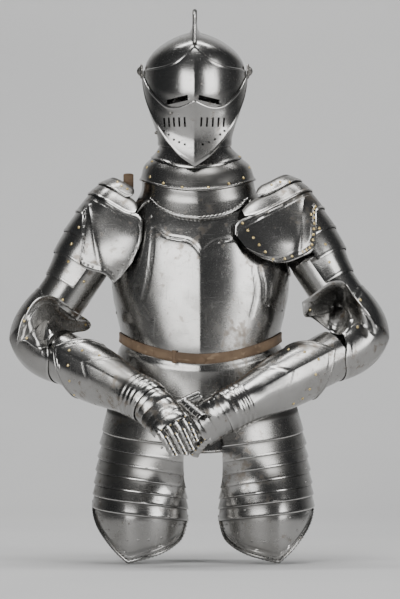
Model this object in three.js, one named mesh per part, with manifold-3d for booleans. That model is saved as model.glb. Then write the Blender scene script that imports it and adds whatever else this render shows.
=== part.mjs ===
// Half armour worn-shaped with no wearer: close helmet, collar, cuirass, shoulder and arm defences,
// gauntlets, fauld and tassets. Millimetres, front towards -Y, +Z up, origin at the wearer's throat.
import * as THREE from "three";
import Module from "manifold-3d";
import { mergeVertices } from "three/addons/utils/BufferGeometryUtils.js";

const wasm = await Module();
wasm.setup();

// Driving dimensions
const PLATE = 1.8;            // wall of the steel plates
const LEATHER = 2.4;          // wall of belts and straps
const SEAM = 0.4;             // clearance between neighbouring plates
const STEP = PLATE + SEAM;    // one plate lying on another
const HELMET_AXIS = { x: -9.5, y: -5, z: 238 };
const HELMET_HALF_WIDTH = 100;
const COMB_HALF_BASE = 7;
const COMB_HALF_TOP = 5;
const PIVOT_BOSS_RADIUS = 14;
const PIVOT_SHANK_RADIUS = 3;
const SIGHT = { inner: 15, outer: 54, height: 9, zInner: -50, zOuter: -56 };
const UPPER_ARM_RADIUS = 51;
const ELBOW_FILLET = 80;
const COUTER_BULGE = 20;

const STEEL = { color: 0x9a9894, roughness: 0.3, metalness: 1.0 };
const DARK_STEEL = { color: 0x77756f, roughness: 0.38, metalness: 1.0 };
const TAN_LEATHER = { color: 0x8a6a45, roughness: 0.8, metalness: 0.0 };

const armour = new THREE.Group();
const rad = (degrees) => (degrees * Math.PI) / 180;
const clamp = (value, low, high) => Math.min(high, Math.max(low, value));
const mix = (from, to, t) => from + (to - from) * t;
const smooth = (t) => {
  const c = clamp(t, 0, 1);
  return c * c * (3 - 2 * c);
};

// Value of one column of a table at a place between its rows, with rounded slopes.
function lookup(table, key, column, at) {
  const last = table.length - 1;
  const sign = table[last][key] > table[0][key] ? 1 : -1;
  if (sign * (at - table[0][key]) <= 0) return table[0][column];
  if (sign * (at - table[last][key]) >= 0) return table[last][column];
  let i = 0;
  while (sign * (at - table[i + 1][key]) > 0) i += 1;
  const slope = (k) => {
    const a = Math.max(0, k - 1);
    const b = Math.min(last, k + 1);
    return (table[b][column] - table[a][column]) / (table[b][key] - table[a][key]);
  };
  const span = table[i + 1][key] - table[i][key];
  const t = (at - table[i][key]) / span;
  const t2 = t * t;
  const t3 = t2 * t;
  return (2 * t3 - 3 * t2 + 1) * table[i][column] + (t3 - 2 * t2 + t) * span * slope(i)
    + (-2 * t3 + 3 * t2) * table[i + 1][column] + (t3 - t2) * span * slope(i + 1);
}

// Turns named columns and rows into a table of objects.
function tableOf(columns, ...rows) {
  return rows.map((row) => Object.fromEntries(columns.map((name, i) => [name, row[i]])));
}

function addMesh(name, geometry, finish) {
  const mesh = new THREE.Mesh(geometry, new THREE.MeshStandardMaterial(finish));
  mesh.name = name;
  armour.add(mesh);
}

function signedVolume(positions, triangles) {
  const a = new THREE.Vector3();
  const b = new THREE.Vector3();
  const c = new THREE.Vector3();
  let sum = 0;
  for (let i = 0; i < triangles.length; i += 3) {
    a.fromArray(positions, triangles[i] * 3);
    b.fromArray(positions, triangles[i + 1] * 3);
    c.fromArray(positions, triangles[i + 2] * 3);
    sum += a.dot(b.cross(c)) / 6;
  }
  return sum;
}

// Makes a bent sheet of even wall from a surface. The surface gives a point for (u, v). Edges say where
// the sheet runs along v for each u. Lift moves the outer face out along the surface's normal.
function sheet({
  surface, us, rows, from, to, places, lift = () => 0, wall = PLATE, closed = false, outward,
}) {
  const nu = us.length;
  const positions = [];
  const triangles = [];
  const outer = [];
  const inner = [];
  const eps = 0.002;
  for (let i = 0; i < nu; i += 1) {
    const u = us[i];
    const vs = places ? places(u) : steps(from(u), to(u), rows);
    outer.push([]);
    inner.push([]);
    for (let j = 0; j <= rows; j += 1) {
      const t = j / rows;
      const v = vs[j];
      const span = Math.abs(us[nu - 1] - us[0]);
      const p = surface(u, v);
      const du = surface(u + eps * span, v).sub(surface(u - eps * span, v));
      const dv = surface(u, v + 0.5).sub(surface(u, v - 0.5));
      const n = du.cross(dv).normalize();
      if (n.dot(outward(u, v, p)) < 0) n.negate();
      const high = p.clone().addScaledVector(n, lift(u, t, v));
      const low = high.clone().addScaledVector(n, -wall);
      outer[i].push(positions.length / 3);
      positions.push(high.x, high.y, high.z);
      inner[i].push(positions.length / 3);
      positions.push(low.x, low.y, low.z);
    }
  }
  const quad = (a, b, c, d) => triangles.push(a, b, c, a, c, d);
  const columns = closed ? nu : nu - 1;
  for (let i = 0; i < columns; i += 1) {
    const k = (i + 1) % nu;
    for (let j = 0; j < rows; j += 1) {
      quad(outer[i][j], outer[k][j], outer[k][j + 1], outer[i][j + 1]);
      quad(inner[i][j], inner[i][j + 1], inner[k][j + 1], inner[k][j]);
    }
    quad(outer[i][0], inner[i][0], inner[k][0], outer[k][0]);
    quad(outer[i][rows], outer[k][rows], inner[k][rows], inner[i][rows]);
  }
  if (!closed) {
    for (let j = 0; j < rows; j += 1) {
      quad(outer[0][j], outer[0][j + 1], inner[0][j + 1], inner[0][j]);
      quad(outer[nu - 1][j], inner[nu - 1][j], inner[nu - 1][j + 1], outer[nu - 1][j + 1]);
    }
  }
  if (signedVolume(positions, triangles) < 0) {
    for (let i = 0; i < triangles.length; i += 3) {
      [triangles[i], triangles[i + 1]] = [triangles[i + 1], triangles[i]];
    }
  }
  const geometry = new THREE.BufferGeometry();
  geometry.setAttribute("position", new THREE.Float32BufferAttribute(positions, 3));
  geometry.setIndex(triangles);
  return geometry;
}

// Even steps from one value to another, ends included.
function steps(from, to, count) {
  return Array.from({ length: count + 1 }, (_, i) => mix(from, to, i / count));
}

// Boolean work on closed geometries.
function solidOf(geometry) {
  const bare = geometry.clone();
  bare.deleteAttribute("normal");
  bare.deleteAttribute("uv");
  const merged = mergeVertices(bare, 1e-4);
  return new wasm.Manifold(new wasm.Mesh({
    numProp: 3,
    vertProperties: new Float32Array(merged.attributes.position.array),
    triVerts: new Uint32Array(merged.index.array),
  }));
}

function geometryOf(solid) {
  const mesh = solid.getMesh();
  const geometry = new THREE.BufferGeometry();
  geometry.setAttribute("position", new THREE.BufferAttribute(new Float32Array(mesh.vertProperties), 3));
  geometry.setIndex(new THREE.BufferAttribute(new Uint32Array(mesh.triVerts), 1));
  return geometry;
}

// Body surface: rings round the wearer by height h, leaning down at the front as the waist dips.
const BODY = tableOf(["h", "half", "front", "back", "ridge", "dip", "shift"],
  [97, 70.5, 73.5, 65.5, 0, 8, -9],
  [86, 71.5, 75, 67, 0, 12, -9],
  [70, 83, 85, 75, 0, 20, -7],
  [50, 104, 97, 84, 0, 23, -5],
  [26, 111, 104, 90, 1, 23, -4],
  [0, 120, 108, 98, 3, 22, -2],
  [-30, 138, 116, 106, 5, 22, 0],
  [-60, 154, 126, 112, 6, 20, 0],
  [-100, 168, 136, 118, 8, 16, 1],
  [-150, 177, 143, 120, 9, 16, 2],
  [-200, 177, 147, 115, 11, 24, 2],
  [-250, 168, 151, 104, 13, 36, 2],
  [-285, 160, 152, 96, 13, 42, 2],
  [-302, 160, 150, 96, 9, 42, 2],
  [-340, 170, 150, 104, 5, 42, 3],
  [-400, 184, 154, 114, 3, 42, 5],
  [-450, 192, 158, 120, 2, 42, 6],
  [-500, 199, 162, 122, 2, 42, 7],
  [-550, 207, 164, 124, 2, 42, 7],
  [-600, 211, 164, 124, 2, 42, 7]);

function bodyPoint(phi, h) {
  const at = (column) => lookup(BODY, "h", column, h);
  const c = Math.cos(phi);
  const s = Math.sin(phi);
  const square = 1 + 0.035 * clamp((60 - h) / 60, 0, 1) * Math.sin(2 * phi) ** 2;
  const crease = at("ridge") * Math.max(0, 1 - Math.abs(Math.atan2(s, c)) / 0.7) ** 1.5;
  const depth = c > 0 ? at("front") : at("back");
  const x = at("shift") + at("half") * s * square;
  const y = -depth * c * square - (c > 0 ? crease : 0);
  const z = h - (c > 0 ? at("dip") * c * c : 0);
  return new THREE.Vector3(x, y, z);
}

const bodyOut = (phi) => new THREE.Vector3(Math.sin(phi), -Math.cos(phi), 0.2);

function bodySheet(name, phis, rows, top, bottom, lift, finish, extra = {}) {
  addMesh(name, sheet({
    surface: bodyPoint, us: phis, rows, from: top, to: bottom, lift, outward: bodyOut, ...extra,
  }), finish);
}

// Upper edge of the cuirass: low at the throat, high at the shoulder, cut down round the arm.
const CUIRASS_TOP = tableOf(["deg", "h"],
  [0, -38], [18, -34], [36, -22], [48, -12], [56, -30], [64, -88], [74, -142], [83, -166], [90, -172]);

function cuirassTop(phi) {
  const fromFront = Math.abs(Math.atan2(Math.sin(phi), Math.cos(phi)));
  const deg = (Math.min(fromFront, Math.PI - fromFront) * 180) / Math.PI;
  const throat = fromFront > Math.PI / 2 ? 22 * Math.cos(fromFront) ** 2 : 0;
  return lookup(CUIRASS_TOP, "deg", "h", deg) + throat;
}

const WAIST_H = -300;
const SIDE_SEAM = 89.9;
const FRONT_COLUMNS = steps(-SIDE_SEAM, SIDE_SEAM, 20).map(rad);
const BACK_COLUMNS = steps(180 - SIDE_SEAM, 180 + SIDE_SEAM, 14).map(rad);
const RING_COLUMNS = [
  ...steps(-90, 90, 20).map(rad), ...steps(90, 270, 14).slice(1, -1).map(rad),
];

function addCuirass() {
  const places = (u) => {
    const top = cuirassTop(u);
    return [top, top - 20, ...steps(top - 44, -256, 4), -280, WAIST_H];
  };
  bodySheet("breastplate", FRONT_COLUMNS, 8, null, null, () => 0, STEEL, { places });
  bodySheet("backplate", BACK_COLUMNS, 8, null, null, () => 0, STEEL, { places });
  bodySheet("waist_belt", RING_COLUMNS, 1, () => -284, () => -304, () => LEATHER + 0.9, TAN_LEATHER,
    { closed: true, wall: LEATHER });
}

// The collar: two neck lames over the gorget plates, which tuck under the cuirass.
function addCollar() {
  const shingle = (STEP + 0.2) * 1.15;
  const neck = (name, heights) => bodySheet(name, RING_COLUMNS, heights.length - 1, null, null,
    (u, t) => shingle * t, STEEL, { closed: true, places: () => heights });
  neck("neck_lame_upper", [97, 86, 75, 63]);
  neck("neck_lame_lower", [69, 45, 20]);
  const sink = (u, t) => mix(-0.1, -STEP - 3.4, smooth(t * 2.6));
  const low = (u) => -58 + 10 * Math.sin(u) ** 2;
  bodySheet("gorget_front", FRONT_COLUMNS, 4, () => 26, low, sink, STEEL);
  bodySheet("gorget_back", BACK_COLUMNS, 4, () => 26, low, sink, STEEL);
}

// Fauld and culet hang from the waist flange, under the belt.
function addFauld() {
  const under = (u, t, h) => mix(-STEP - 1.1, 0, smooth((-h - 306) / 14));
  const hung = (low) => ({ places: () => [-290, -304, -320, -352, low] });
  bodySheet("fauld_upper", FRONT_COLUMNS, 4, null, null, under, STEEL, hung(-386));
  const arch = (u) => -478 + 44 * Math.sin(u) ** 2 - 8 * Math.sin(2 * u) ** 2;
  bodySheet("fauld_lower", FRONT_COLUMNS, 3, () => -376, arch, () => -STEP, STEEL);
  bodySheet("culet", BACK_COLUMNS, 4, null, null, under, STEEL, hung(-400));
}

// Helmet surface: a spindle round the pivot axis. Theta is 0 at the brow's front, 90 at the crown.
const PROFILE = tableOf(["deg", "skull", "comb", "face", "square", "keel"],
  [-66, 150, 90, 222, 4.2, 0.20],
  [-63, 150, 90, 210, 4.2, 0.20],
  [-55, 140, 90, 171, 4.0, 0.20],
  [-45, 125, 90, 148, 3.5, 0.19],
  [-35, 112, 90, 137, 2.8, 0.17],
  [-25, 107, 90, 131, 2.4, 0.15],
  [-10, 104, 90, 120, 2.1, 0.11],
  [5, 102, 90, 112, 1.9, 0.08],
  [27, 100, 100, 105, 1.6, 0.05],
  [45, 91, 98, 99, 1.45, 0.02],
  [62, 83, 101, 95, 1.35, 0],
  [80, 77, 115, 93, 1.3, 0],
  [100, 81, 123, 93, 1.35, 0],
  [120, 92, 124, 93, 1.45, 0],
  [150, 106, 122, 93, 1.8, 0],
  [180, 111, 116, 93, 2.3, 0],
  [200, 113, 114, 93, 2.5, 0]);

function spindlePoint(column, halfWidth) {
  return (alpha, deg) => {
    const s = Math.sin(alpha);
    const square = lookup(PROFILE, "deg", "square", deg);
    const keel = 1 - lookup(PROFILE, "deg", "keel", deg) * Math.abs(s);
    const fall = Math.sqrt(Math.max(0, 1 - Math.abs(s) ** square)) * keel;
    const rho = lookup(PROFILE, "deg", column, deg) * fall;
    return new THREE.Vector3(
      HELMET_AXIS.x + s * halfWidth,
      HELMET_AXIS.y - rho * Math.cos(rad(deg)),
      HELMET_AXIS.z + rho * Math.sin(rad(deg)),
    );
  };
}

const spindleOut = (alpha, deg, p) => new THREE.Vector3(
  (p.x - HELMET_AXIS.x) * 1.5, p.y - HELMET_AXIS.y, p.z - HELMET_AXIS.z,
);

// Below the pivots the helmet follows the cheeks and nape down to the collar, ring by ring.
const CHEEK = tableOf(["z", "half", "front", "back", "centre"],
  [238, 98, 92, 110, -5],
  [214, 98, 92, 109, -5],
  [181, 96, 93, 104, -4],
  [156, 91, 93, 96, -3],
  [128, 81, 88, 84, -2],
  [104, 74.6, 80, 72.5, -1],
  [92, 74.6, 78.4, 70.6, 0],
  [80, 75.2, 79, 71.2, 0]);

function cheekPoint(phi, z) {
  const at = (column) => lookup(CHEEK, "z", column, z);
  const c = Math.cos(phi);
  const s = Math.sin(phi);
  const depth = c > 0 ? at("front") : at("back");
  return new THREE.Vector3(HELMET_AXIS.x + at("half") * s, at("centre") - depth * c, z);
}

const combPoint = (deg, rho, x) => [
  HELMET_AXIS.x + x, HELMET_AXIS.y - rho * Math.cos(rad(deg)), HELMET_AXIS.z + rho * Math.sin(rad(deg)),
];

// The comb is a fin along the crown, thicker at its root, closed at both ends.
function combGeometry() {
  const angles = steps(30, 196, 12);
  const positions = [];
  const triangles = [];
  angles.forEach((deg) => {
    const root = lookup(PROFILE, "deg", "skull", deg) - PLATE;
    const top = Math.max(root + 2.5, lookup(PROFILE, "deg", "comb", deg));
    positions.push(...combPoint(deg, root, -COMB_HALF_BASE), ...combPoint(deg, top, -COMB_HALF_TOP));
    positions.push(...combPoint(deg, top, COMB_HALF_TOP), ...combPoint(deg, root, COMB_HALF_BASE));
  });
  for (let i = 0; i < angles.length - 1; i += 1) {
    for (let k = 0; k < 4; k += 1) {
      const a = i * 4 + k;
      const b = i * 4 + ((k + 1) % 4);
      triangles.push(a, b, b + 4, a, b + 4, a + 4);
    }
  }
  const end = (angles.length - 1) * 4;
  triangles.push(0, 3, 2, 0, 2, 1, end, end + 1, end + 2, end, end + 2, end + 3);
  if (signedVolume(positions, triangles) < 0) triangles.reverse();
  const geometry = new THREE.BufferGeometry();
  geometry.setAttribute("position", new THREE.Float32BufferAttribute(positions, 3));
  geometry.setIndex(triangles);
  return geometry;
}

function discAt(x, radius, thickness, segments = 16) {
  const geometry = new THREE.CylinderGeometry(radius, radius, thickness, segments);
  geometry.rotateZ(Math.PI / 2);
  geometry.translate(HELMET_AXIS.x + x, HELMET_AXIS.y, HELMET_AXIS.z);
  return geometry;
}

// Round bosses at both pivots, bored for the bolts.
function withBosses(body, halfWidth) {
  let solid = body;
  [-1, 1].forEach((side) => {
    const boss = discAt(side * (halfWidth - PLATE / 2), PIVOT_BOSS_RADIUS, PLATE);
    const bore = discAt(side * halfWidth, PIVOT_SHANK_RADIUS + 0.3, 14, 12);
    solid = solid.add(solidOf(boss)).subtract(solidOf(bore));
  });
  return solid;
}

const VISOR_EDGES = tableOf(["s", "top", "low"],
  [0, 27, -34], [0.17, 18, -38], [0.35, 10, -42], [0.6, 5, -45], [0.85, 4, -43], [0.98, 5, -42]);
const VENTAIL_EDGES = tableOf(["s", "top", "low"],
  [0, -28, -64], [0.3, -36, -62.5], [0.55, -39, -60], [0.7, -37.5, -58], [0.9, -35, -57], [0.98, -32, -58]);

function edge(table, column) {
  return (alpha) => lookup(table, "s", column, Math.abs(Math.sin(alpha)));
}

function addHelmet() {
  const across = steps(rad(-86), rad(86), 16);
  const skullTop = solidOf(sheet({
    surface: spindlePoint("skull", HELMET_HALF_WIDTH), us: steps(rad(-89.2), rad(89.2), 16), rows: 9,
    from: () => 3, to: () => 180.2, outward: spindleOut,
  }));
  const nape = solidOf(sheet({
    surface: cheekPoint, us: steps(rad(90.5), rad(269.5), 14), rows: 5, from: () => 240, to: () => 90,
    outward: bodyOut,
  }));
  let skull = skullTop.add(nape).add(solidOf(combGeometry()));
  [-1, 1].forEach((side) => {
    const cheek = discAt(side * (HELMET_HALF_WIDTH - 2.4), PIVOT_BOSS_RADIUS, PLATE + 0.6);
    const bore = discAt(side * HELMET_HALF_WIDTH, PIVOT_SHANK_RADIUS + 0.3, 24, 12);
    skull = skull.add(solidOf(cheek)).subtract(solidOf(bore));
  });
  addMesh("helmet_skull", geometryOf(skull), STEEL);

  const visorWidth = HELMET_HALF_WIDTH + STEP + 0.3;
  let visor = solidOf(sheet({
    surface: spindlePoint("face", visorWidth), us: across, rows: 4,
    from: edge(VISOR_EDGES, "top"), to: edge(VISOR_EDGES, "low"), outward: spindleOut,
  }));
  [-1, 1].forEach((side) => {
    const shape = new THREE.Shape();
    shape.moveTo(side * SIGHT.inner, SIGHT.zInner + SIGHT.height / 2);
    shape.lineTo(side * SIGHT.outer, SIGHT.zOuter + SIGHT.height / 2);
    shape.lineTo(side * SIGHT.outer, SIGHT.zOuter - SIGHT.height / 2);
    shape.lineTo(side * SIGHT.inner, SIGHT.zInner - SIGHT.height / 2);
    shape.closePath();
    const cutter = new THREE.ExtrudeGeometry(shape, { depth: 160, bevelEnabled: false });
    cutter.rotateX(Math.PI / 2);
    cutter.translate(HELMET_AXIS.x, HELMET_AXIS.y, HELMET_AXIS.z);
    visor = visor.subtract(solidOf(cutter));
  });
  addMesh("helmet_visor", geometryOf(withBosses(visor, visorWidth)), STEEL);

  const ventailWidth = visorWidth + STEP + 0.3;
  const faceLift = STEP + 0.3;
  const ventail = solidOf(sheet({
    surface: spindlePoint("face", visorWidth + 0.3), us: across, rows: 5, lift: () => faceLift,
    from: edge(VENTAIL_EDGES, "top"), to: edge(VENTAIL_EDGES, "low"), outward: spindleOut,
  }));
  addMesh("helmet_ventail", geometryOf(withBosses(ventail, ventailWidth)), STEEL);

  addMesh("helmet_bevor", sheet({
    surface: cheekPoint, us: steps(rad(-89.6), rad(89.6), 16), rows: 5,
    from: (phi) => mix(214, 150, Math.cos(phi) ** 2), to: (phi) => 90 - 8 * Math.cos(phi), outward: bodyOut,
  }), STEEL);

  [-1, 1].forEach((side) => {
    const head = discAt(side * (ventailWidth + SEAM + 2), 7, 4, 12);
    const shankLength = ventailWidth + SEAM + 1 - (HELMET_HALF_WIDTH - 9);
    const shank = discAt(side * (HELMET_HALF_WIDTH - 9 + shankLength / 2), PIVOT_SHANK_RADIUS, shankLength, 12);
    const nut = discAt(side * (HELMET_HALF_WIDTH - 8), 6, 3, 12);
    const bolt = solidOf(head).add(solidOf(shank)).add(solidOf(nut));
    addMesh(side < 0 ? "helmet_pivot_left" : "helmet_pivot_right", geometryOf(bolt), DARK_STEEL);
  });
}

// A limb: a path through named joints with rounded corners, and a frame at each place along it.
function limbPath(joints, hand) {
  const points = [];
  const push = (p, back) => points.push({ p: p.clone(), back: back.clone() });
  const pull = (from, toward, d) => from.clone().add(toward.clone().sub(from).setLength(d));
  joints.forEach((joint, i) => {
    if (!joint.fillet) {
      push(joint.at, joint.back);
      return;
    }
    const a = pull(joint.at, joints[i - 1].at, joint.fillet);
    const b = pull(joint.at, joints[i + 1].at, joint.fillet);
    steps(0, 1, 16).forEach((t) => {
      const q = a.clone().multiplyScalar((1 - t) ** 2).addScaledVector(joint.at, 2 * t * (1 - t));
      push(q.addScaledVector(b, t * t), joint.back);
    });
  });
  let run = 0;
  points.forEach((point, i) => {
    if (i > 0) run += point.p.distanceTo(points[i - 1].p);
    point.s = run;
  });
  const at = (s) => {
    let i = 0;
    while (i < points.length - 2 && s > points[i + 1].s) i += 1;
    const t = (s - points[i].s) / (points[i + 1].s - points[i].s);
    return {
      p: points[i].p.clone().lerp(points[i + 1].p, t),
      back: points[i].back.clone().lerp(points[i + 1].back, clamp(t, 0, 1)),
    };
  };
  const frame = (s) => {
    const here = at(s);
    const t = at(s + 6).p.sub(at(s - 6).p).normalize();
    const back = here.back.addScaledVector(t, -here.back.dot(t)).normalize();
    const side = t.clone().cross(back).normalize().multiplyScalar(hand);
    return { p: here.p, t, back, side };
  };
  return { frame, length: run, count: points.length, sAt: (i) => points[i].s };
}

// Point on a limb ring: alpha 0 towards the elbow's outer side, 90 towards the front or back of hand.
function ringPoint(limb, radii) {
  return (alpha, s) => {
    const f = limb.frame(s);
    const r = radii(s, alpha);
    return f.p.clone().addScaledVector(f.side, r.wide * Math.cos(alpha))
      .addScaledVector(f.back, r.deep * Math.sin(alpha));
  };
}

// Places of the joints of each arm; side -1 is the viewer's left, 1 the viewer's right.
const ARMS = {
  left: {
    side: -1, shoulder: [-173, -15, -61], elbow: [-331, -50, -303], wrist: [-98, -240, -421],
    knuckle: [-50, -292, -470], tip: [-24, -292, -522],
    back: [-0.386, -0.857, 0.334], handBack: [0.35, -0.93, 0.1],
  },
  right: {
    side: 1, shoulder: [175, -15, -55], elbow: [331, -68, -296], wrist: [48, -240, -440],
    knuckle: [-8, -238, -474], tip: [-34, -224, -516],
    back: [0.386, -0.857, 0.334], handBack: [-0.3, -0.95, 0.05],
  },
};

const vector = (list) => new THREE.Vector3(...list);

function armLimb(arm) {
  const back = vector(arm.back);
  const handBack = vector(arm.handBack);
  return limbPath([
    { at: vector(arm.shoulder), back },
    { at: vector(arm.elbow), back, fillet: ELBOW_FILLET },
    { at: vector(arm.wrist), back: back.clone().lerp(handBack, 0.5), fillet: 22 },
    { at: vector(arm.knuckle), back: handBack, fillet: 18 },
    { at: vector(arm.tip), back: handBack },
  ], -arm.side);
}

const ringOut = (limb) => (alpha, s, p) => p.clone().sub(limb.frame(s).p);
const degrees = (from, to, count) => steps(from, to, count).map(rad);
const toDeg = (angle) => (angle * 180) / Math.PI;

function addArm(label, arm) {
  const limb = armLimb(arm);
  const out = ringOut(limb);
  const elbowStart = limb.sAt(1);
  const elbowEnd = limb.sAt(17);
  const wristStart = limb.sAt(18);
  const ring = degrees(0, 340, 17);

  const cannon = ringPoint(limb, () => ({ wide: UPPER_ARM_RADIUS, deep: UPPER_ARM_RADIUS }));
  addMesh(`upper_cannon_${label}`, sheet({
    surface: cannon, us: ring, rows: 2, from: () => 100, to: () => elbowStart - 2, closed: true, outward: out,
  }), STEEL);

  const taper = (s) => mix(UPPER_ARM_RADIUS, 41, smooth((s - elbowEnd) / (wristStart - elbowEnd)));
  const forearm = ringPoint(limb, (s) => ({ wide: taper(s), deep: taper(s) }));
  addMesh(`lower_cannon_${label}`, sheet({
    surface: forearm, us: ring, rows: 4, from: () => elbowEnd + 2, to: () => wristStart - 14, closed: true,
    outward: out,
  }), STEEL);

  const middle = (elbowStart + elbowEnd) / 2;
  const couterHalf = (alpha) => 78 - 30 * smooth((Math.abs(toDeg(alpha)) - 50) / 80);
  const couterLift = (u, t) => STEP + COUTER_BULGE * Math.sin(Math.PI * t) ** 1.5
    * (1 - 0.7 * smooth((Math.abs(toDeg(u)) - 60) / 80));
  addMesh(`couter_${label}`, sheet({
    surface: cannon, us: degrees(-120, 120, 12), rows: 6, lift: couterLift, outward: out,
    from: (a) => middle - couterHalf(a), to: (a) => middle + couterHalf(a),
  }), STEEL);

  addGauntlet(label, limb, taper, wristStart, out);
  addPauldron(label, arm, limb, out);
}

function addGauntlet(label, limb, taper, wristStart, out) {
  const mouth = wristStart - 128;
  const wristEnd = wristStart + 26;
  const cuffRadii = (s) => {
    const t = clamp((s - mouth) / (wristEnd - mouth), -0.3, 1.2);
    const r = taper(s) + STEP + 0.3 + 18 * (1 - smooth(t * 1.35));
    return { wide: r, deep: r - 5 * smooth((t - 0.85) * 5) };
  };
  addMesh(`gauntlet_cuff_${label}`, sheet({
    surface: ringPoint(limb, cuffRadii), us: degrees(0, 340, 17), rows: 4, closed: true, outward: out,
    from: (a) => mouth - 26 * Math.max(0, Math.cos(a - rad(150))) ** 4, to: () => wristEnd,
  }), STEEL);

  const wristRadii = cuffRadii(wristEnd);
  const handRadii = (s) => {
    const t = smooth((s - wristEnd + 8) / 50);
    return {
      wide: mix(wristRadii.wide - STEP - 1.1, 42, t),
      deep: mix(wristRadii.deep - STEP - 1.1, 25, t),
    };
  };
  const knuckle = limb.sAt(limb.count - 10);
  addMesh(`metacarpal_${label}`, sheet({
    surface: ringPoint(limb, handRadii), us: degrees(-15, 195, 12), rows: 4, outward: out,
    from: () => wristEnd - 8, to: () => knuckle - 4,
  }), STEEL);

  const scallop = (alpha) => 3 * Math.abs(Math.sin(2 * alpha)) - 3;
  const fingerRadii = (s, alpha) => {
    const t = clamp((s - knuckle) / 50, 0, 1);
    const r = handRadii(s);
    return { wide: r.wide - STEP - 1.42 - 5 * t + scallop(alpha), deep: r.deep - STEP - 1.42 - 3 * t + scallop(alpha) };
  };
  addMesh(`fingers_${label}`, sheet({
    surface: ringPoint(limb, fingerRadii), us: degrees(0, 180, 16), rows: 4, outward: out,
    from: () => knuckle - 14, to: (a) => limb.length - 4 - 14 * Math.cos(a) ** 2,
  }), STEEL);

  const thumbRoot = limb.frame(knuckle - 30);
  const thumbRadius = 13;
  const thumbBase = thumbRoot.p.clone().addScaledVector(thumbRoot.side, -(42 + thumbRadius - 0.5));
  const thumb = (alpha, v) => thumbBase.clone().addScaledVector(thumbRoot.t, v)
    .addScaledVector(thumbRoot.side, -thumbRadius * Math.cos(alpha) - 0.1 * v)
    .addScaledVector(thumbRoot.back, thumbRadius * Math.sin(alpha) - 6);
  addMesh(`thumb_${label}`, sheet({
    surface: thumb, us: degrees(-20, 160, 8), rows: 3, from: () => -14, to: () => 44,
    outward: (alpha, v, p) => p.clone().sub(thumbBase.clone().addScaledVector(thumbRoot.t, v)),
  }), STEEL);
}

// Shoulder defence: bands round the upper arm, with a shield that stands out over the armpit in front.
const PAULDRON = tableOf(["s", "radius", "flareLeft", "flareRight"],
  [-95, 30, 12, 70], [-75, 46, 22, 82], [-50, 60, 36, 87], [-22, 67.5, 46, 87], [12, 69.5, 50, 83],
  [40, 69.5, 48, 78], [64, 69, 43, 70], [85, 67.5, 36, 56], [110, 64, 30, 40], [140, 57.5, 26, 30],
  [166, 53.6, 24, 24]);
const MAIN_LEFT = tableOf(["deg", "top", "low"],
  [-105, -24, 28], [40, -24, 27], [71, -24, 32], [95, -24, 74], [117, -24, 116], [135, -24, 116],
  [150, -24, 108], [157, 8, 108], [162, 52, 110], [165, 92, 111]);
const MAIN_RIGHT = tableOf(["deg", "top", "low"],
  [-105, -24, 28], [40, -24, 27], [71, -24, 32], [95, -24, 68], [116, -24, 96], [142, -24, 95],
  [154, -24, 87], [159, -24, 70], [162, -6, 36]);

function addPauldron(label, arm, limb, out) {
  const flareColumn = arm.side < 0 ? "flareLeft" : "flareRight";
  const radii = (s, alpha) => {
    const deg = toDeg(alpha);
    const flare = lookup(PAULDRON, "s", flareColumn, s) * Math.max(0, (deg - 100) / 60) ** 2.3;
    const r = lookup(PAULDRON, "s", "radius", s) + flare;
    return { wide: r, deep: r };
  };
  const surface = ringPoint(limb, radii);
  const main = arm.side < 0 ? MAIN_LEFT : MAIN_RIGHT;
  const reach = arm.side < 0 ? 138 : 150;
  const around = (low, high) => [
    ...degrees(-105, 60, 11), ...degrees(71, 117, 3), ...degrees(129, 153, 2),
  ].filter((angle) => angle > rad(low - 1) && angle < rad(high + 1));
  const shingle = (from, to, next) => (u, t) => ((STEP + 0.7) * (to - from) * t) / (next - from);
  const band = (name, from, to, low, high, lift) => addMesh(`pauldron_${label}_${name}`, sheet({
    surface, us: around(low, high), rows: 2, outward: out, from: () => from, to: () => to, lift,
  }), STEEL);
  band("top", -72, -44, -60, reach - 9, shingle(-72, -44, -50));
  band("lame", -50, -16, -75, reach + 3, shingle(-50, -16, -24));
  addMesh(`pauldron_${label}_main`, sheet({
    surface, outward: out, rows: 5, lift: (u, t, s) => Math.max(0, ((STEP + 0.3) * (s + 24)) / 42),
    us: [...degrees(-90, 60, 10), ...degrees(71, 117, 6), ...degrees(125, main[main.length - 1].deg, 6)],
    from: (a) => lookup(main, "deg", "top", toDeg(a)), to: (a) => lookup(main, "deg", "low", toDeg(a)),
  }), STEEL);
  band("arm_upper", 18, 72, -90, 117, shingle(18, 72, 64));
  band("arm_lower", 64, 118, -105, 117, shingle(64, 118, 110));
  band("turned", 110, 164, -105, 129, () => 0);

  // Leather strap from the collar to the inside of the top plate.
  const sunk = STEP + 3.4 - SEAM;
  const low = bodyPoint(rad(arm.side * 92), -30).add(new THREE.Vector3(-arm.side * sunk, 0, 0));
  const inside = surface(rad(38), -56);
  const inward = limb.frame(-56).p.clone().sub(inside).setLength(PLATE - 0.8);
  const turn = low.clone().add(new THREE.Vector3(arm.side * 6, 0, 32));
  const path = new THREE.QuadraticBezierCurve3(low, turn, inside.add(inward));
  addMesh(`shoulder_strap_${label}`, sheet({
    surface: (u, v) => path.getPoint(clamp(v / 100, 0, 1)).add(new THREE.Vector3(0, u, 0)),
    us: steps(-9, 9, 2), rows: 6, from: () => 1, to: () => 99, wall: LEATHER,
    outward: () => new THREE.Vector3(-arm.side * 0.7, 0, 0.7),
  }), TAN_LEATHER);
}

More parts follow.
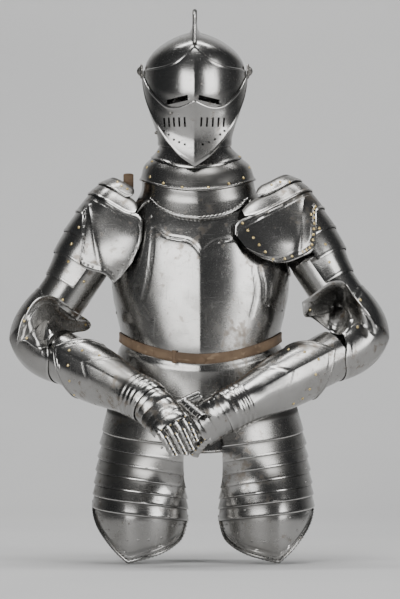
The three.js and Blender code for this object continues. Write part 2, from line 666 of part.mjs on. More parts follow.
// Tassets: curved lames over each thigh, hung from the fauld. Angle 0 is the thigh's front.
const THIGH = tableOf(["z", "half", "front"],
  [-440, 84, 100], [-550, 86, 104], [-600, 91, 106], [-650, 92, 106], [-700, 89, 104], [-740, 84, 100]);
const TASSET_TIP_INNER = tableOf(["deg", "z"],
  [-78, -650], [-64, -688], [-47, -706], [-25, -721], [-4, -730], [16, -738]);
const TASSET_TIP_OUTER = tableOf(["deg", "z"], [16, -738], [32, -717], [48, -693], [64, -669], [92, -622]);
const TASSET_KEEL = 16;
const TASSET_EDGES = [-444, -494, -521, -547, -573, -598, -620, -644];
const TASSET_NEST = [1.2, 2.4, 1.5, 1.6, 1.5, 1.0, 1.0];
const TASSET_CENTRE = { middle: 7.5, apart: 124.5, y: -46 };

function addTasset(label, side) {
  const surface = (angle, z) => {
    const deg = toDeg(angle);
    const half = lookup(THIGH, "z", "half", z);
    const front = lookup(THIGH, "z", "front", z);
    const keel = 5 * Math.max(0, 1 - Math.abs(deg - TASSET_KEEL) / 60);
    const x = TASSET_CENTRE.middle + side * (TASSET_CENTRE.apart + half * Math.sin(angle));
    const thigh = new THREE.Vector3(x, TASSET_CENTRE.y - (front + keel) * Math.cos(angle), z);
    const phi = rad(side * mix(11, 86, (deg + 78) / 170));
    const hip = bodyPoint(phi, z + 42 * Math.cos(phi) ** 2);
    hip.z = z;
    return hip.lerp(thigh, smooth((-z - 508) / 150));
  };
  const out = (angle) => new THREE.Vector3(side * Math.sin(angle), -Math.cos(angle), 0);
  const slope = (z) => (angle) => z + 0.17 * (toDeg(angle) - TASSET_KEEL);
  const tip = (angle) => {
    const deg = toDeg(angle);
    return lookup(deg < TASSET_KEEL ? TASSET_TIP_INNER : TASSET_TIP_OUTER, "deg", "z", deg);
  };
  const columns = degrees(-78, TASSET_KEEL, 7).concat(degrees(TASSET_KEEL, 92, 5).slice(1));
  for (let i = 0; i < TASSET_EDGES.length; i += 1) {
    const last = i === TASSET_EDGES.length - 1;
    const from = slope(i === 0 ? TASSET_EDGES[0] : TASSET_EDGES[i] + 9);
    const to = last ? tip : slope(TASSET_EDGES[i + 1]);
    const height = last ? 90 : TASSET_EDGES[i] - TASSET_EDGES[i + 1] + 9;
    const rise = last ? 0 : ((STEP + TASSET_NEST[i]) * height) / (height - 9);
    const sink = i === 0 ? 1.4 : 0;
    addMesh(`tasset_${label}_${i + 1}`, sheet({
      surface, us: columns, rows: last ? 4 : (i === 0 ? 3 : 1), outward: out, from, to,
      lift: (u, t) => STEP - 0.4 - sink * (1 - t) + rise * t,
    }), STEEL);
  }
}

addCuirass();
addCollar();
addFauld();
addHelmet();
Object.entries(ARMS).forEach(([label, arm]) => addArm(label, arm));
addTasset("left", -1);
addTasset("right", 1);

export default armour;
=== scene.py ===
import math

import bmesh
import bpy
import numpy as np
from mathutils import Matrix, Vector
from mathutils.bvhtree import BVHTree


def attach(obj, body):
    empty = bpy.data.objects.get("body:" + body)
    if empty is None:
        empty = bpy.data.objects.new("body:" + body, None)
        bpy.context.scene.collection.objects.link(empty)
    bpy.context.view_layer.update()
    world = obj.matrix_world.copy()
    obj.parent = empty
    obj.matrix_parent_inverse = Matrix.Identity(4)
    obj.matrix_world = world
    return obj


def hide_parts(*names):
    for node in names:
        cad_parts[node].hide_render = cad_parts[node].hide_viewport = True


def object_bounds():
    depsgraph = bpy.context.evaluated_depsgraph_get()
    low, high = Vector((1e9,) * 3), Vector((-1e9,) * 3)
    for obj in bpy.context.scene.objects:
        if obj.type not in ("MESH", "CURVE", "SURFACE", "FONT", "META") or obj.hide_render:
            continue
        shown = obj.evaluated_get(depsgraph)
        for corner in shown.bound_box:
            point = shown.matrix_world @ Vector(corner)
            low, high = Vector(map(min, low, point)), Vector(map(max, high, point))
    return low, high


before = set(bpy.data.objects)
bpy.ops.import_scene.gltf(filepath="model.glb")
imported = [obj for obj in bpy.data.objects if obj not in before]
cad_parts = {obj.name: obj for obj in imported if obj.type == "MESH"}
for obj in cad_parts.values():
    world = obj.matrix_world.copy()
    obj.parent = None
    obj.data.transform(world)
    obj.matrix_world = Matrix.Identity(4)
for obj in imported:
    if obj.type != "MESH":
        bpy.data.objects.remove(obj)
cad_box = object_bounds()

# Photographer's set: the armour stands before a pale sweep, seen level from the front through a long
# lens. Two broad soft boxes light it from the sides, with a smaller one above.
CAMERA_AWAY = 10.0
VIEW_MIDDLE = (1.0, -219.0)


def linked(name, data):
    obj = bpy.data.objects.new(name, data)
    bpy.context.scene.collection.objects.link(obj)
    return obj


camera_data = bpy.data.cameras.new("camera")
camera_data.sensor_fit = "VERTICAL"
camera_data.sensor_height = 24.0
camera_data.lens = 200.0
camera = linked("camera", camera_data)
camera.location = (VIEW_MIDDLE[0] / 1000, -CAMERA_AWAY, VIEW_MIDDLE[1] / 1000)
camera.rotation_euler = (math.pi / 2, 0, 0)
bpy.context.scene.camera = camera


def soft_box(name, place, target, width, height, power):
    data = bpy.data.lights.new(name, "AREA")
    data.shape = "RECTANGLE"
    data.size = width
    data.size_y = height
    data.energy = power
    lamp = linked(name, data)
    lamp.location = place
    lamp.rotation_euler = (Vector(target) - Vector(place)).to_track_quat("-Z", "Y").to_euler()


soft_box("key_box", (-1.9, -3.5, 0.8), (0, 0, -0.2), 2.6, 2.2, 105)
soft_box("fill_box", (2.7, -2.1, 0.6), (0, 0, -0.2), 1.5, 2.2, 62)
soft_box("top_box", (0.0, -0.9, 2.9), (0, 0, 0), 1.8, 1.0, 50)
soft_box("sweep_box", (0.0, 0.9, 3.6), (0, 2.6, 0.2), 4.0, 0.8, 130)

world = bpy.data.worlds.new("studio")
world.use_nodes = True
world.node_tree.nodes["Background"].inputs["Color"].default_value = (0.86, 0.89, 0.93, 1)
world.node_tree.nodes["Background"].inputs["Strength"].default_value = 0.06
bpy.context.scene.world = world


class Socket:
    """A number or colour that varies over a surface, kept in a node's socket."""

    def __init__(self, finish, link):
        self.finish = finish
        self.link = link

    def maths(self, operation, a, b=0.0):
        return self.finish.node("ShaderNodeMath", [a, b], operation=operation)

    def __add__(self, other):
        return self.maths("ADD", self, other)

    def __radd__(self, other):
        return self.maths("ADD", other, self)

    def __sub__(self, other):
        return self.maths("SUBTRACT", self, other)

    def __mul__(self, other):
        return self.maths("MULTIPLY", self, other)

    def __rmul__(self, other):
        return self.maths("MULTIPLY", other, self)

    def over(self, low, high):
        """0 below low, 1 above high."""
        return self.finish.node("ShaderNodeMapRange", [self, low, high, 0.0, 1.0], clamp=True,
                                interpolation_type="SMOOTHSTEP")


class Finish:
    """A material whose nodes are added one at a time."""

    def __init__(self, name):
        self.material = bpy.data.materials.new(name)
        self.material.use_nodes = True
        self.tree = self.material.node_tree
        self.shader = self.tree.nodes["Principled BSDF"]
        self.place = self.node("ShaderNodeTexCoord", [], output="Object")

    def node(self, kind, inputs, output=0, stops=None, **settings):
        node = self.tree.nodes.new(kind)
        for key, value in settings.items():
            setattr(node, key, value)
        if stops:
            while len(node.color_ramp.elements) < len(stops):
                node.color_ramp.elements.new(0.5)
            for element, (at, colour) in zip(node.color_ramp.elements, stops):
                element.position = at
                element.color = (*colour, 1)
        pairs = inputs.items() if isinstance(inputs, dict) else enumerate(inputs)
        for key, value in pairs:
            self.feed(node.inputs[key], value)
        return Socket(self, node.outputs[output])

    def feed(self, socket, value):
        if isinstance(value, Socket):
            self.tree.links.new(value.link, socket)
        elif value is not None:
            socket.default_value = value

    def noise(self, scale, detail=3.0, stretch=(1, 1, 1), at=(0, 0, 0)):
        spot = self.node("ShaderNodeMapping", {"Vector": self.place, "Scale": stretch, "Location": at})
        return self.node("ShaderNodeTexNoise", {"Vector": spot, "Scale": scale, "Detail": detail},
                         output="Fac")

    def mix(self, factor, a, b):
        node = self.tree.nodes.new("ShaderNodeMix")
        node.data_type = "RGBA"
        self.feed(node.inputs[0], factor)
        self.feed(node.inputs[6], a if isinstance(a, Socket) else (*a, 1))
        self.feed(node.inputs[7], b if isinstance(b, Socket) else (*b, 1))
        return Socket(self, node.outputs[2])

    def bump(self, height, depth, strength=1.0):
        return self.node("ShaderNodeBump", {"Height": height, "Distance": depth, "Strength": strength},
                         output="Normal")

    def set(self, **sockets):
        for name, value in sockets.items():
            self.feed(self.shader.inputs[name.replace("_", " ").title()], value)
        return self.material


paper = Finish("pale_paper")
paper_tone = paper.noise(1.5).over(0.3, 0.7)
pale_paper = paper.set(base_color=paper.mix(paper_tone, (0.60, 0.60, 0.60), (0.63, 0.63, 0.625)),
                       roughness=0.9)

SWEEP_START = 2.2
SWEEP_RADIUS = 1.2
BEND_STEPS = 12
floor_z = cad_box[0][2] - 0.004
sweep_outline = [(-12.0, 0.0), (SWEEP_START, 0.0)]
for step in range(1, BEND_STEPS + 1):
    turn = step / BEND_STEPS * math.pi / 2
    sweep_outline.append((SWEEP_START + SWEEP_RADIUS * math.sin(turn),
                          SWEEP_RADIUS - SWEEP_RADIUS * math.cos(turn)))
sweep_outline.append((SWEEP_START + SWEEP_RADIUS, 6.0))
sweep_mesh = bpy.data.meshes.new("floor")
sweep_points = [(x, y, floor_z + z) for y, z in sweep_outline for x in (-9.0, 9.0)]
sweep_faces = [(2 * i, 2 * i + 1, 2 * i + 3, 2 * i + 2) for i in range(len(sweep_outline) - 1)]
sweep_mesh.from_pydata(sweep_points, [], sweep_faces)
sweep_mesh.shade_smooth()
sweep_mesh.materials.append(pale_paper)
floor = linked("floor", sweep_mesh)

# Cuirass: breastplate and backplate, each raised from one sheet of steel about 1.8 mm thick and then
# ground and burnished. The neck is turned over and roped, and sunk double lines are chased in front.
WALL = 1.8
GAP = 0.4
STEP = WALL + GAP
STRAP_WALL = 2.4
TURN_NUDGE = 0.0015
RUN_NUDGE = 0.5
EDGE_ROUNDING = 0.9
WEAR_REACH = 3.5
LAP_SHADE_REACH = 2.4


def table(columns, *rows):
    return {name: np.array([row[i] for row in rows], float) for i, name in enumerate(columns)}


def lookup(rows, key, column, at):
    k = rows[key]
    y = rows[column]
    at = np.asarray(at, float)
    if k[-1] < k[0]:
        k = -k
        at = -at
    at = np.clip(at, k[0], k[-1])
    i = np.clip(np.searchsorted(k, at, side="right") - 1, 0, len(k) - 2)
    index = np.arange(len(k))
    before = np.maximum(index - 1, 0)
    after = np.minimum(index + 1, len(k) - 1)
    slope = (y[after] - y[before]) / (k[after] - k[before])
    span = k[i + 1] - k[i]
    t = (at - k[i]) / span
    t2 = t * t
    t3 = t2 * t
    return ((2 * t3 - 3 * t2 + 1) * y[i] + (t3 - 2 * t2 + t) * span * slope[i]
            + (3 * t2 - 2 * t3) * y[i + 1] + (t3 - t2) * span * slope[i + 1])


def smooth(t):
    t = np.clip(t, 0, 1)
    return t * t * (3 - 2 * t)


def unit(v):
    return v / np.maximum(np.linalg.norm(v, axis=-1, keepdims=True), 1e-9)


def normals_of(point, u, v, outward):
    du = point(u + TURN_NUDGE, v) - point(u - TURN_NUDGE, v)
    dv = point(u, v + RUN_NUDGE) - point(u, v - RUN_NUDGE)
    n = unit(np.cross(du, dv))
    flip = np.sum(n * outward(u, v, point(u, v)), axis=-1, keepdims=True) < 0
    return np.where(flip, -n, n)


def border_distance(p, closed):
    """Distance of each grid point from the nearest free edge, in millimetres."""
    along_v = np.cumsum(np.linalg.norm(np.diff(p, axis=1), axis=2), axis=1)
    along_v = np.concatenate([np.zeros((p.shape[0], 1)), along_v], axis=1)
    near = np.minimum(along_v, along_v[:, -1:] - along_v)
    if not closed:
        along_u = np.cumsum(np.linalg.norm(np.diff(p, axis=0), axis=2), axis=0)
        along_u = np.concatenate([np.zeros((1, p.shape[1])), along_u], axis=0)
        near = np.minimum(near, np.minimum(along_u, along_u[-1:] - along_u))
    return near


def between(low, high, count, columns):
    """A grid of v from low to high, each a number or a list over the columns."""
    low, high = (np.broadcast_to(np.asarray(edge, float), (columns,)) for edge in (low, high))
    t = np.linspace(0, 1, count + 1)
    return low[:, None] * (1 - t) + high[:, None] * t


def turns(low, high, count, ring=False):
    """Angles in radians, from degrees."""
    return np.radians(np.linspace(low, high, count, endpoint=not ring))


def paint(obj, name, values):
    """Writes a number for each grid point on both faces of a sheet."""
    both = np.concatenate([values.ravel(), values.ravel()]).astype(np.float32)
    obj.data.attributes.new(name, "FLOAT", "POINT").data.foreach_set("value", both)


def plate(name, point, u, v, outward, lift=None, wall=WALL, closed=False, shaded_lap=None):
    """A bent sheet with rounded edges. u is a list; v is low, high and count, or a grid with a row for each
    u. lift gets u, t, v, the distance from the free edges and the points. The last argument is how far in
    the next plate's edge lies; that band is darkened as painted shade, for the shadow the plate above casts."""
    v = between(*v, len(u)) if isinstance(v, tuple) else v
    nu, nv = v.shape
    uu = np.repeat(np.asarray(u, float)[:, None], nv, axis=1)
    base = point(uu, v)
    n = normals_of(point, uu, v, outward)
    t = np.repeat(np.linspace(0, 1, nv)[None, :], nu, axis=0)
    near = border_distance(base, closed)
    high = lift(uu, t, v, near, base) if lift else np.zeros(near.shape)
    ease = np.clip(near / EDGE_ROUNDING, 0, 1)
    rounding = EDGE_ROUNDING / 2 * (1 - np.sqrt(1 - (1 - ease) ** 2))
    outer = base + n * (high - rounding)[..., None]
    inner = base + n * (high - wall + rounding)[..., None]
    count = nu * nv
    index = np.arange(count).reshape(nu, nv)
    nxt = np.roll(index, -1, axis=0) if closed else index[1:]
    now = index if closed else index[:-1]
    quads = [np.stack([now[:, :-1], nxt[:, :-1], nxt[:, 1:], now[:, 1:]], -1).reshape(-1, 4)]
    quads.append(quads[0][:, ::-1] + count)
    quads.append(np.stack([now[:, 0], now[:, 0] + count, nxt[:, 0] + count, nxt[:, 0]], -1))
    quads.append(np.stack([now[:, -1], nxt[:, -1], nxt[:, -1] + count, now[:, -1] + count], -1))
    if not closed:
        first, last = index[0], index[-1]
        quads.append(np.stack([first[:-1], first[1:], first[1:] + count, first[:-1] + count], -1))
        quads.append(np.stack([last[:-1], last[:-1] + count, last[1:] + count, last[1:]], -1))
    faces = np.concatenate(quads)
    points = np.concatenate([outer.reshape(-1, 3), inner.reshape(-1, 3)]) / 1000
    a, b, c = points[faces[0][0]], points[faces[0][1]], points[faces[0][2]]
    if np.dot(np.cross(b - a, c - a), n.reshape(-1, 3)[faces[0][0]]) < 0:
        faces = faces[:, ::-1]
    obj = mesh_object(name, points, faces)
    paint(obj, "edge", np.exp(-(near / WEAR_REACH) ** 2))
    if shaded_lap is not None:
        # Painted shade: a mask that is full across the lapped band at the top of the plate, where the plate
        # above casts its shadow, and fades below it.
        from_start = np.cumsum(np.linalg.norm(np.diff(base, axis=1), axis=2), axis=1)
        from_start = np.concatenate([np.zeros((nu, 1)), from_start], axis=1)
        paint(obj, "shaded_lap", np.exp(-np.maximum(0, from_start - shaded_lap) / LAP_SHADE_REACH))
    return obj


def mesh_object(name, points, faces, sharp=0.7):
    mesh = bpy.data.meshes.new(name)
    mesh.from_pydata(np.asarray(points).tolist(), [], [list(map(int, face)) for face in faces])
    mesh.update()
    mesh.shade_smooth()
    mesh.set_sharp_from_angle(angle=sharp)
    return linked(name, mesh)


def finish_piece(obj, material, *nodes, body="root"):
    obj.data.materials.clear()
    obj.data.materials.append(material)
    if nodes:
        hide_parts(*nodes)
    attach(obj, body)
    return obj


def steel_finish(name, dark, light, rough, stain):
    """Burnished steel with faint hammer waves, fine scratches, pitting, old brown stains and painted shade at
    laps.
    """
    f = Finish(name)
    cloud = f.noise(6.0, 3.0).over(0.35, 0.7)
    patch = f.noise(22.0, 4.0, at=(3, 1, 2)).over(0.48, 0.72)
    scratch_a = f.noise(210.0, 2.0, stretch=(0.08, 1, 1.6)).over(0.60, 0.72)
    scratch_b = f.noise(230.0, 2.0, stretch=(1.5, 1, 0.07), at=(5, 0, 1)).over(0.62, 0.74)
    pits = f.noise(900.0, 2.0, at=(1, 7, 3)).over(0.64, 0.76)
    rust = (f.noise(70.0, 6.0, at=(9, 2, 4)) * 0.6 + f.noise(8.0, 2.0, at=(2, 8, 6)) * 0.4).over(0.55, 0.67)
    worn = f.node("ShaderNodeAttribute", [], output="Fac", attribute_name="edge")
    painted_lap_shade = f.node("ShaderNodeAttribute", [], output="Fac", attribute_name="shaded_lap")
    colour = f.mix(cloud * 0.7 + patch * 0.3, light, dark)
    colour = f.mix(rust * stain, colour, (0.15, 0.115, 0.08))
    colour = f.mix(worn * 0.5, colour, tuple(min(1, c * 1.6) for c in light))
    # Painted shade: the colour goes nearly black along the lapped bands, standing in for the shadow of the
    # plate above; the same mask also makes those bands rougher.
    colour = f.mix(painted_lap_shade * 0.85, colour, (0.03, 0.028, 0.025))
    colour = f.mix(pits * 0.5, colour, (0.07, 0.065, 0.06))
    roughness = (rough + 0.08 * cloud + 0.05 * patch + 0.05 * (scratch_a + scratch_b) + 0.2 * pits
                 + 0.2 * rust * stain + 0.25 * painted_lap_shade - 0.04 * worn)
    waves = f.noise(17.0, 1.0, at=(4, 4, 1))
    height = 1.0 * waves - 0.015 * (scratch_a + scratch_b) - 0.03 * pits + 0.015 * patch
    f.set(base_color=colour, roughness=roughness, normal=f.bump(height, 0.0018, 0.5))
    f.shader.inputs["Metallic"].default_value = 1.0
    return f.material


steel = steel_finish("burnished_steel", (0.235, 0.228, 0.215), (0.36, 0.355, 0.345), 0.20, 0.6)
dark_steel = steel_finish("dark_steel", (0.17, 0.162, 0.15), (0.26, 0.25, 0.235), 0.27, 0.8)

BODY = table(["h", "half", "front", "back", "ridge", "dip", "shift"],
             [97, 70.5, 73.5, 65.5, 0, 8, -9], [86, 71.5, 75, 67, 0, 12, -9],
             [70, 83, 85, 75, 0, 20, -7], [50, 104, 97, 84, 0, 23, -5],
             [26, 111, 104, 90, 1, 23, -4], [0, 120, 108, 98, 3, 22, -2],
             [-30, 138, 116, 106, 5, 22, 0], [-60, 154, 126, 112, 6, 20, 0],
             [-100, 168, 136, 118, 8, 16, 1], [-150, 177, 143, 120, 9, 16, 2],
             [-200, 177, 147, 115, 11, 24, 2], [-250, 168, 151, 104, 13, 36, 2],
             [-285, 160, 152, 96, 13, 42, 2], [-302, 160, 150, 96, 9, 42, 2],
             [-340, 170, 150, 104, 5, 42, 3], [-400, 184, 154, 114, 3, 42, 5],
             [-450, 192, 158, 120, 2, 42, 6], [-500, 199, 162, 122, 2, 42, 7],
             [-550, 207, 164, 124, 2, 42, 7], [-600, 211, 164, 124, 2, 42, 7])
CUIRASS_TOP = table(["deg", "h"], [0, -38], [18, -34], [36, -22], [48, -12], [56, -30], [64, -88],
                    [74, -142], [83, -166], [90, -172])


def body_point(phi, h):
    c, s = np.cos(phi), np.sin(phi)
    square = 1 + 0.035 * np.clip((60 - h) / 60, 0, 1) * np.sin(2 * phi) ** 2
    fall = np.maximum(0, 1 - np.abs(np.arctan2(s, c)) / 0.7) ** 1.5
    crease = lookup(BODY, "h", "ridge", h) * fall
    front = c > 0
    depth = np.where(front, lookup(BODY, "h", "front", h), lookup(BODY, "h", "back", h))
    x = lookup(BODY, "h", "shift", h) + lookup(BODY, "h", "half", h) * s * square
    y = -depth * c * square - np.where(front, crease, 0)
    z = h - np.where(front, lookup(BODY, "h", "dip", h) * c * c, 0)
    return np.stack([x, y, z], -1)


def body_out(phi, h, p):
    return np.stack([np.sin(phi), -np.cos(phi), np.full(np.shape(phi), 0.2)], -1)


def cuirass_top(phi):
    from_front = np.abs(np.arctan2(np.sin(phi), np.cos(phi)))
    deg = np.degrees(np.minimum(from_front, np.pi - from_front))
    throat = np.where(from_front > np.pi / 2, 22 * np.cos(from_front) ** 2, 0)
    return lookup(CUIRASS_TOP, "deg", "h", deg) + throat


MM_PER_PIXEL = 2.003
PHOTO_MIDDLE = (200.0, 299.5)


def photo(*pixels, depth=0.13):
    """Millimetres across and up from places in the photograph's frame, for surfaces this far in front."""
    scale = MM_PER_PIXEL * (1 - depth / CAMERA_AWAY)
    return [(VIEW_MIDDLE[0] + (px - PHOTO_MIDDLE[0]) * scale, VIEW_MIDDLE[1] + (PHOTO_MIDDLE[1] - py) * scale)
            for px, py in pixels]


def from_line(p, line):
    """Distance in the front view of points from a line through places."""
    best = np.full(p.shape[:-1], 1e9)
    for (ax, az), (bx, bz) in zip(line[:-1], line[1:]):
        ex, ez = bx - ax, bz - az
        if ex * ex + ez * ez < 1e-9:
            continue
        along = np.clip(((p[..., 0] - ax) * ex + (p[..., 2] - az) * ez) / (ex * ex + ez * ez), 0, 1)
        best = np.minimum(best, np.hypot(p[..., 0] - ax - along * ex, p[..., 2] - az - along * ez))
    return best


def rounded(line, rounds=3, keep=()):
    """Cuts the corners of a line, except at places in keep."""
    kept = [line[i] for i in keep]
    for _ in range(rounds):
        out = [line[0]]
        for a, b in zip(line[:-1], line[1:]):
            out.append(a if a in kept else (0.75 * a[0] + 0.25 * b[0], 0.75 * a[1] + 0.25 * b[1]))
            out.append(b if b in kept else (0.25 * a[0] + 0.75 * b[0], 0.25 * a[1] + 0.75 * b[1]))
        out.append(line[-1])
        line = out
    return line


def sunk_pair(d, apart=2.6, width=1.5, depth=1.1):
    return -depth * np.exp(-((d - apart) / width) ** 2)


def sunk_line(d, width=1.6, depth=1.1):
    return -depth * np.exp(-(d / width) ** 2)


def bead(near, at, width, height=0.9):
    """A raised line that runs along the free edges, this far in from them."""
    return height * np.exp(-((near - at) / width) ** 2)


CHEST_LINE = rounded(photo((151, 219), (158, 229), (166, 236.5), (178, 238.5), (189, 240), (197, 247),
                           (202.5, 255.5), (208, 247), (216, 241), (228, 239.5), (240, 238), (247, 231)), 2,
                           keep=(6,))
SIDE_LINES = [rounded(photo((153, 229), (151.5, 256), (148, 280), (143, 300))),
              rounded(photo((136, 287), (138, 302), (150, 319))),
              rounded(photo((253.7, 268), (257.8, 290), (251.5, 316))),
              rounded(photo((259.5, 268), (264.5, 284), (264, 300)))]


def breast_lift(u, t, v, near, p):
    high = sunk_pair(from_line(p, CHEST_LINE))
    for line in SIDE_LINES:
        high = high + sunk_pair(from_line(p, line), 2.2, 1.3, 0.8)
    return high


phis = turns(-89.9, 89.9, 200)
tops = cuirass_top(phis)
breast = plate("breast_plate", body_point, phis, (tops, -300, 112), body_out, breast_lift)
finish_piece(breast, steel, "breastplate")
back_phis = turns(90.1, 269.9, 90)
back = plate("back_plate", body_point, back_phis,
             (cuirass_top(back_phis), -300, 60), body_out)
finish_piece(back, steel, "backplate")


def read_nodes(name, *inputs):
    """A new geometry tree with named inputs, and its group input node."""
    tree = bpy.data.node_groups.new(name, "GeometryNodeTree")
    tree.interface.new_socket(name="Geometry", in_out="INPUT", socket_type="NodeSocketGeometry")
    sockets = {}
    for label, kind in inputs:
        sockets[label] = tree.interface.new_socket(name=label, in_out="INPUT", socket_type=kind).identifier
    tree.interface.new_socket(name="Geometry", in_out="OUTPUT", socket_type="NodeSocketGeometry")
    return tree, tree.nodes.new("NodeGroupInput"), sockets


def chain(tree, kind, feeds, output=0, **settings):
    node = tree.nodes.new(kind)
    for key, value in settings.items():
        setattr(node, key, value)
    for key, value in feeds.items():
        if isinstance(value, bpy.types.NodeSocket):
            tree.links.new(value, node.inputs[key])
        else:
            node.inputs[key].default_value = value
    return node.outputs[output]


def close_tree(tree, geometry, material):
    real = chain(tree, "GeometryNodeRealizeInstances", {"Geometry": geometry})
    shaded = chain(tree, "GeometryNodeSetShadeSmooth", {"Geometry": real})
    dressed = chain(tree, "GeometryNodeSetMaterial", {"Geometry": shaded, "Material": material})
    tree.links.new(dressed, tree.nodes.new("NodeGroupOutput").inputs[0])


def plain(obj):
    """Keeps what the modifiers give as the object's own mesh."""
    bpy.context.view_layer.update()
    ready = obj.evaluated_get(bpy.context.evaluated_depsgraph_get())
    mesh = bpy.data.meshes.new_from_object(ready)
    obj.modifiers.clear()
    obj.data = mesh
    return obj


def made(name, base, tree, values):
    """Runs a geometry tree on a base mesh."""
    carrier = linked(name, base)
    modifier = carrier.modifiers.new("build", "NODES")
    modifier.node_group = tree
    for identifier, value in values.items():
        modifier[identifier] = value
    return plain(carrier)


# A rim: an edge turned over a wire. Its section follows the edge; a roped rim is cut with slanting
# notches, so the section has lobes and turns steadily along its length.
rim_tree, rim_in, rim_inputs = read_nodes(
    "rim", ("Radius", "NodeSocketFloat"), ("Notch", "NodeSocketFloat"), ("Turn", "NodeSocketFloat"),
    ("Spacing", "NodeSocketFloat"), ("Material", "NodeSocketMaterial"))
rim_path = chain(rim_tree, "GeometryNodeMeshToCurve", {"Mesh": rim_in.outputs["Geometry"]})
rim_even = chain(rim_tree, "GeometryNodeResampleCurve",
                 {"Curve": rim_path, "Length": rim_in.outputs["Spacing"]}, mode="LENGTH")
rim_index = chain(rim_tree, "GeometryNodeInputIndex", {})
rim_tilt = chain(rim_tree, "ShaderNodeMath", {0: rim_index, 1: rim_in.outputs["Turn"]}, operation="MULTIPLY")
rim_turned = chain(rim_tree, "GeometryNodeSetCurveTilt", {"Curve": rim_even, "Tilt": rim_tilt})
rim_small = chain(rim_tree, "ShaderNodeMath", {0: rim_in.outputs["Radius"], 1: rim_in.outputs["Notch"]},
                  operation="MULTIPLY")
rim_section = chain(rim_tree, "GeometryNodeCurveStar", {
    "Points": 4, "Inner Radius": rim_small, "Outer Radius": rim_in.outputs["Radius"]})
rim_tube = chain(rim_tree, "GeometryNodeCurveToMesh", {
    "Curve": rim_turned, "Profile Curve": rim_section, "Fill Caps": True})
close_tree(rim_tree, rim_tube, rim_in.outputs["Material"])


RIM_SPACING = 1.6
ROPE_NOTCH = 0.64
ROPE_TURN = 0.30


def rim(name, path, radius, material, roped=False, ring=False):
    mesh = bpy.data.meshes.new(name)
    last = len(path) if ring else len(path) - 1
    mesh.from_pydata((np.asarray(path) / 1000).tolist(), [(i, (i + 1) % len(path)) for i in range(last)], [])
    obj = made(name, mesh, rim_tree, {
        rim_inputs["Radius"]: radius / 1000, rim_inputs["Notch"]: ROPE_NOTCH if roped else 0.98,
        rim_inputs["Turn"]: ROPE_TURN if roped else 0.0, rim_inputs["Spacing"]: RIM_SPACING / 1000,
        rim_inputs["Material"]: material})
    return finish_piece(obj, material)


def along_edge(point, outward, u, v, lift):
    """A path on a surface, lifted off it."""
    u, v = np.broadcast_arrays(np.asarray(u, float), np.asarray(v, float))
    return point(u, v) + normals_of(point, u, v, outward) * lift


# Rivets: low domed heads set on the plates, steel in most places and brass on the collar, cuffs,
# gauntlets and borders. Each head is turned to face out of the plate below it.
rivet_tree, rivet_in, rivet_inputs = read_nodes("rivets", ("Height", "NodeSocketFloat"),
                                                ("Material", "NodeSocketMaterial"))
rivet_points = chain(rivet_tree, "GeometryNodeMeshToPoints", {"Mesh": rivet_in.outputs["Geometry"]})
rivet_ball = chain(rivet_tree, "GeometryNodeMeshUVSphere", {"Segments": 10, "Rings": 6, "Radius": 1.0})
rivet_scale = chain(rivet_tree, "ShaderNodeCombineXYZ", {0: 1.0, 1: 1.0, 2: rivet_in.outputs["Height"]})
rivet_head = chain(rivet_tree, "GeometryNodeTransform", {"Geometry": rivet_ball, "Scale": rivet_scale})
rivet_facing = chain(rivet_tree, "GeometryNodeInputNamedAttribute", {"Name": "facing"},
                     data_type="FLOAT_VECTOR")
rivet_size = chain(rivet_tree, "GeometryNodeInputNamedAttribute", {"Name": "size"}, data_type="FLOAT")
rivet_turn = chain(rivet_tree, "FunctionNodeAlignRotationToVector", {"Vector": rivet_facing}, axis="Z")
rivet_set = chain(rivet_tree, "GeometryNodeInstanceOnPoints", {
    "Points": rivet_points, "Instance": rivet_head, "Rotation": rivet_turn, "Scale": rivet_size})
close_tree(rivet_tree, rivet_set, rivet_in.outputs["Material"])


def rivets(name, spots, material, body="root", height=0.55):
    """spots: place, facing and radius of each head, in millimetres."""
    mesh = bpy.data.meshes.new(name)
    mesh.from_pydata([[c / 1000 for c in place] for place, facing, radius in spots], [], [])
    facing = mesh.attributes.new("facing", "FLOAT_VECTOR", "POINT")
    facing.data.foreach_set("vector", np.array([f for _, f, _ in spots], np.float32).ravel())
    size = mesh.attributes.new("size", "FLOAT", "POINT")
    size.data.foreach_set("value", np.array([r / 1000 for _, _, r in spots], np.float32))
    obj = made(name, mesh, rivet_tree, {rivet_inputs["Height"]: height, rivet_inputs["Material"]: material})
    return finish_piece(obj, material, body=body)


def hit_plates(plates, spots, radius, back=False):
    """Places a head where each spot of the front view meets the plates."""
    found = []
    graph = bpy.context.evaluated_depsgraph_get()
    trees = [BVHTree.FromObject(obj, graph) for obj in plates]
    for x, z in spots:
        best = None
        for tree in trees:
            start = Vector((x / 1000, 2.0 if back else -2.0, z / 1000))
            place, normal, _, distance = tree.ray_cast(start, Vector((0, -1 if back else 1, 0)))
            if place is not None and (best is None or distance < best[2]):
                best = (place, normal, distance)
        if best:
            found.append((tuple(best[0] * 1000), tuple(best[1]), radius))
    return found


def join(name, parts):
    """Puts several meshes into one object."""
    whole = bmesh.new()
    for part in parts:
        whole.from_mesh(part.data)
        bpy.data.objects.remove(part)
    mesh = bpy.data.meshes.new(name)
    whole.to_mesh(mesh)
    whole.free()
    return linked(name, mesh)


def settle(obj, merge=0.0):
    """Turns every face outwards, after joining points closer than merge, in metres."""
    shape = bmesh.new()
    shape.from_mesh(obj.data)
    if merge:
        bmesh.ops.remove_doubles(shape, verts=shape.verts, dist=merge)
    bmesh.ops.recalc_face_normals(shape, faces=shape.faces)
    shape.to_mesh(obj.data)
    shape.free()


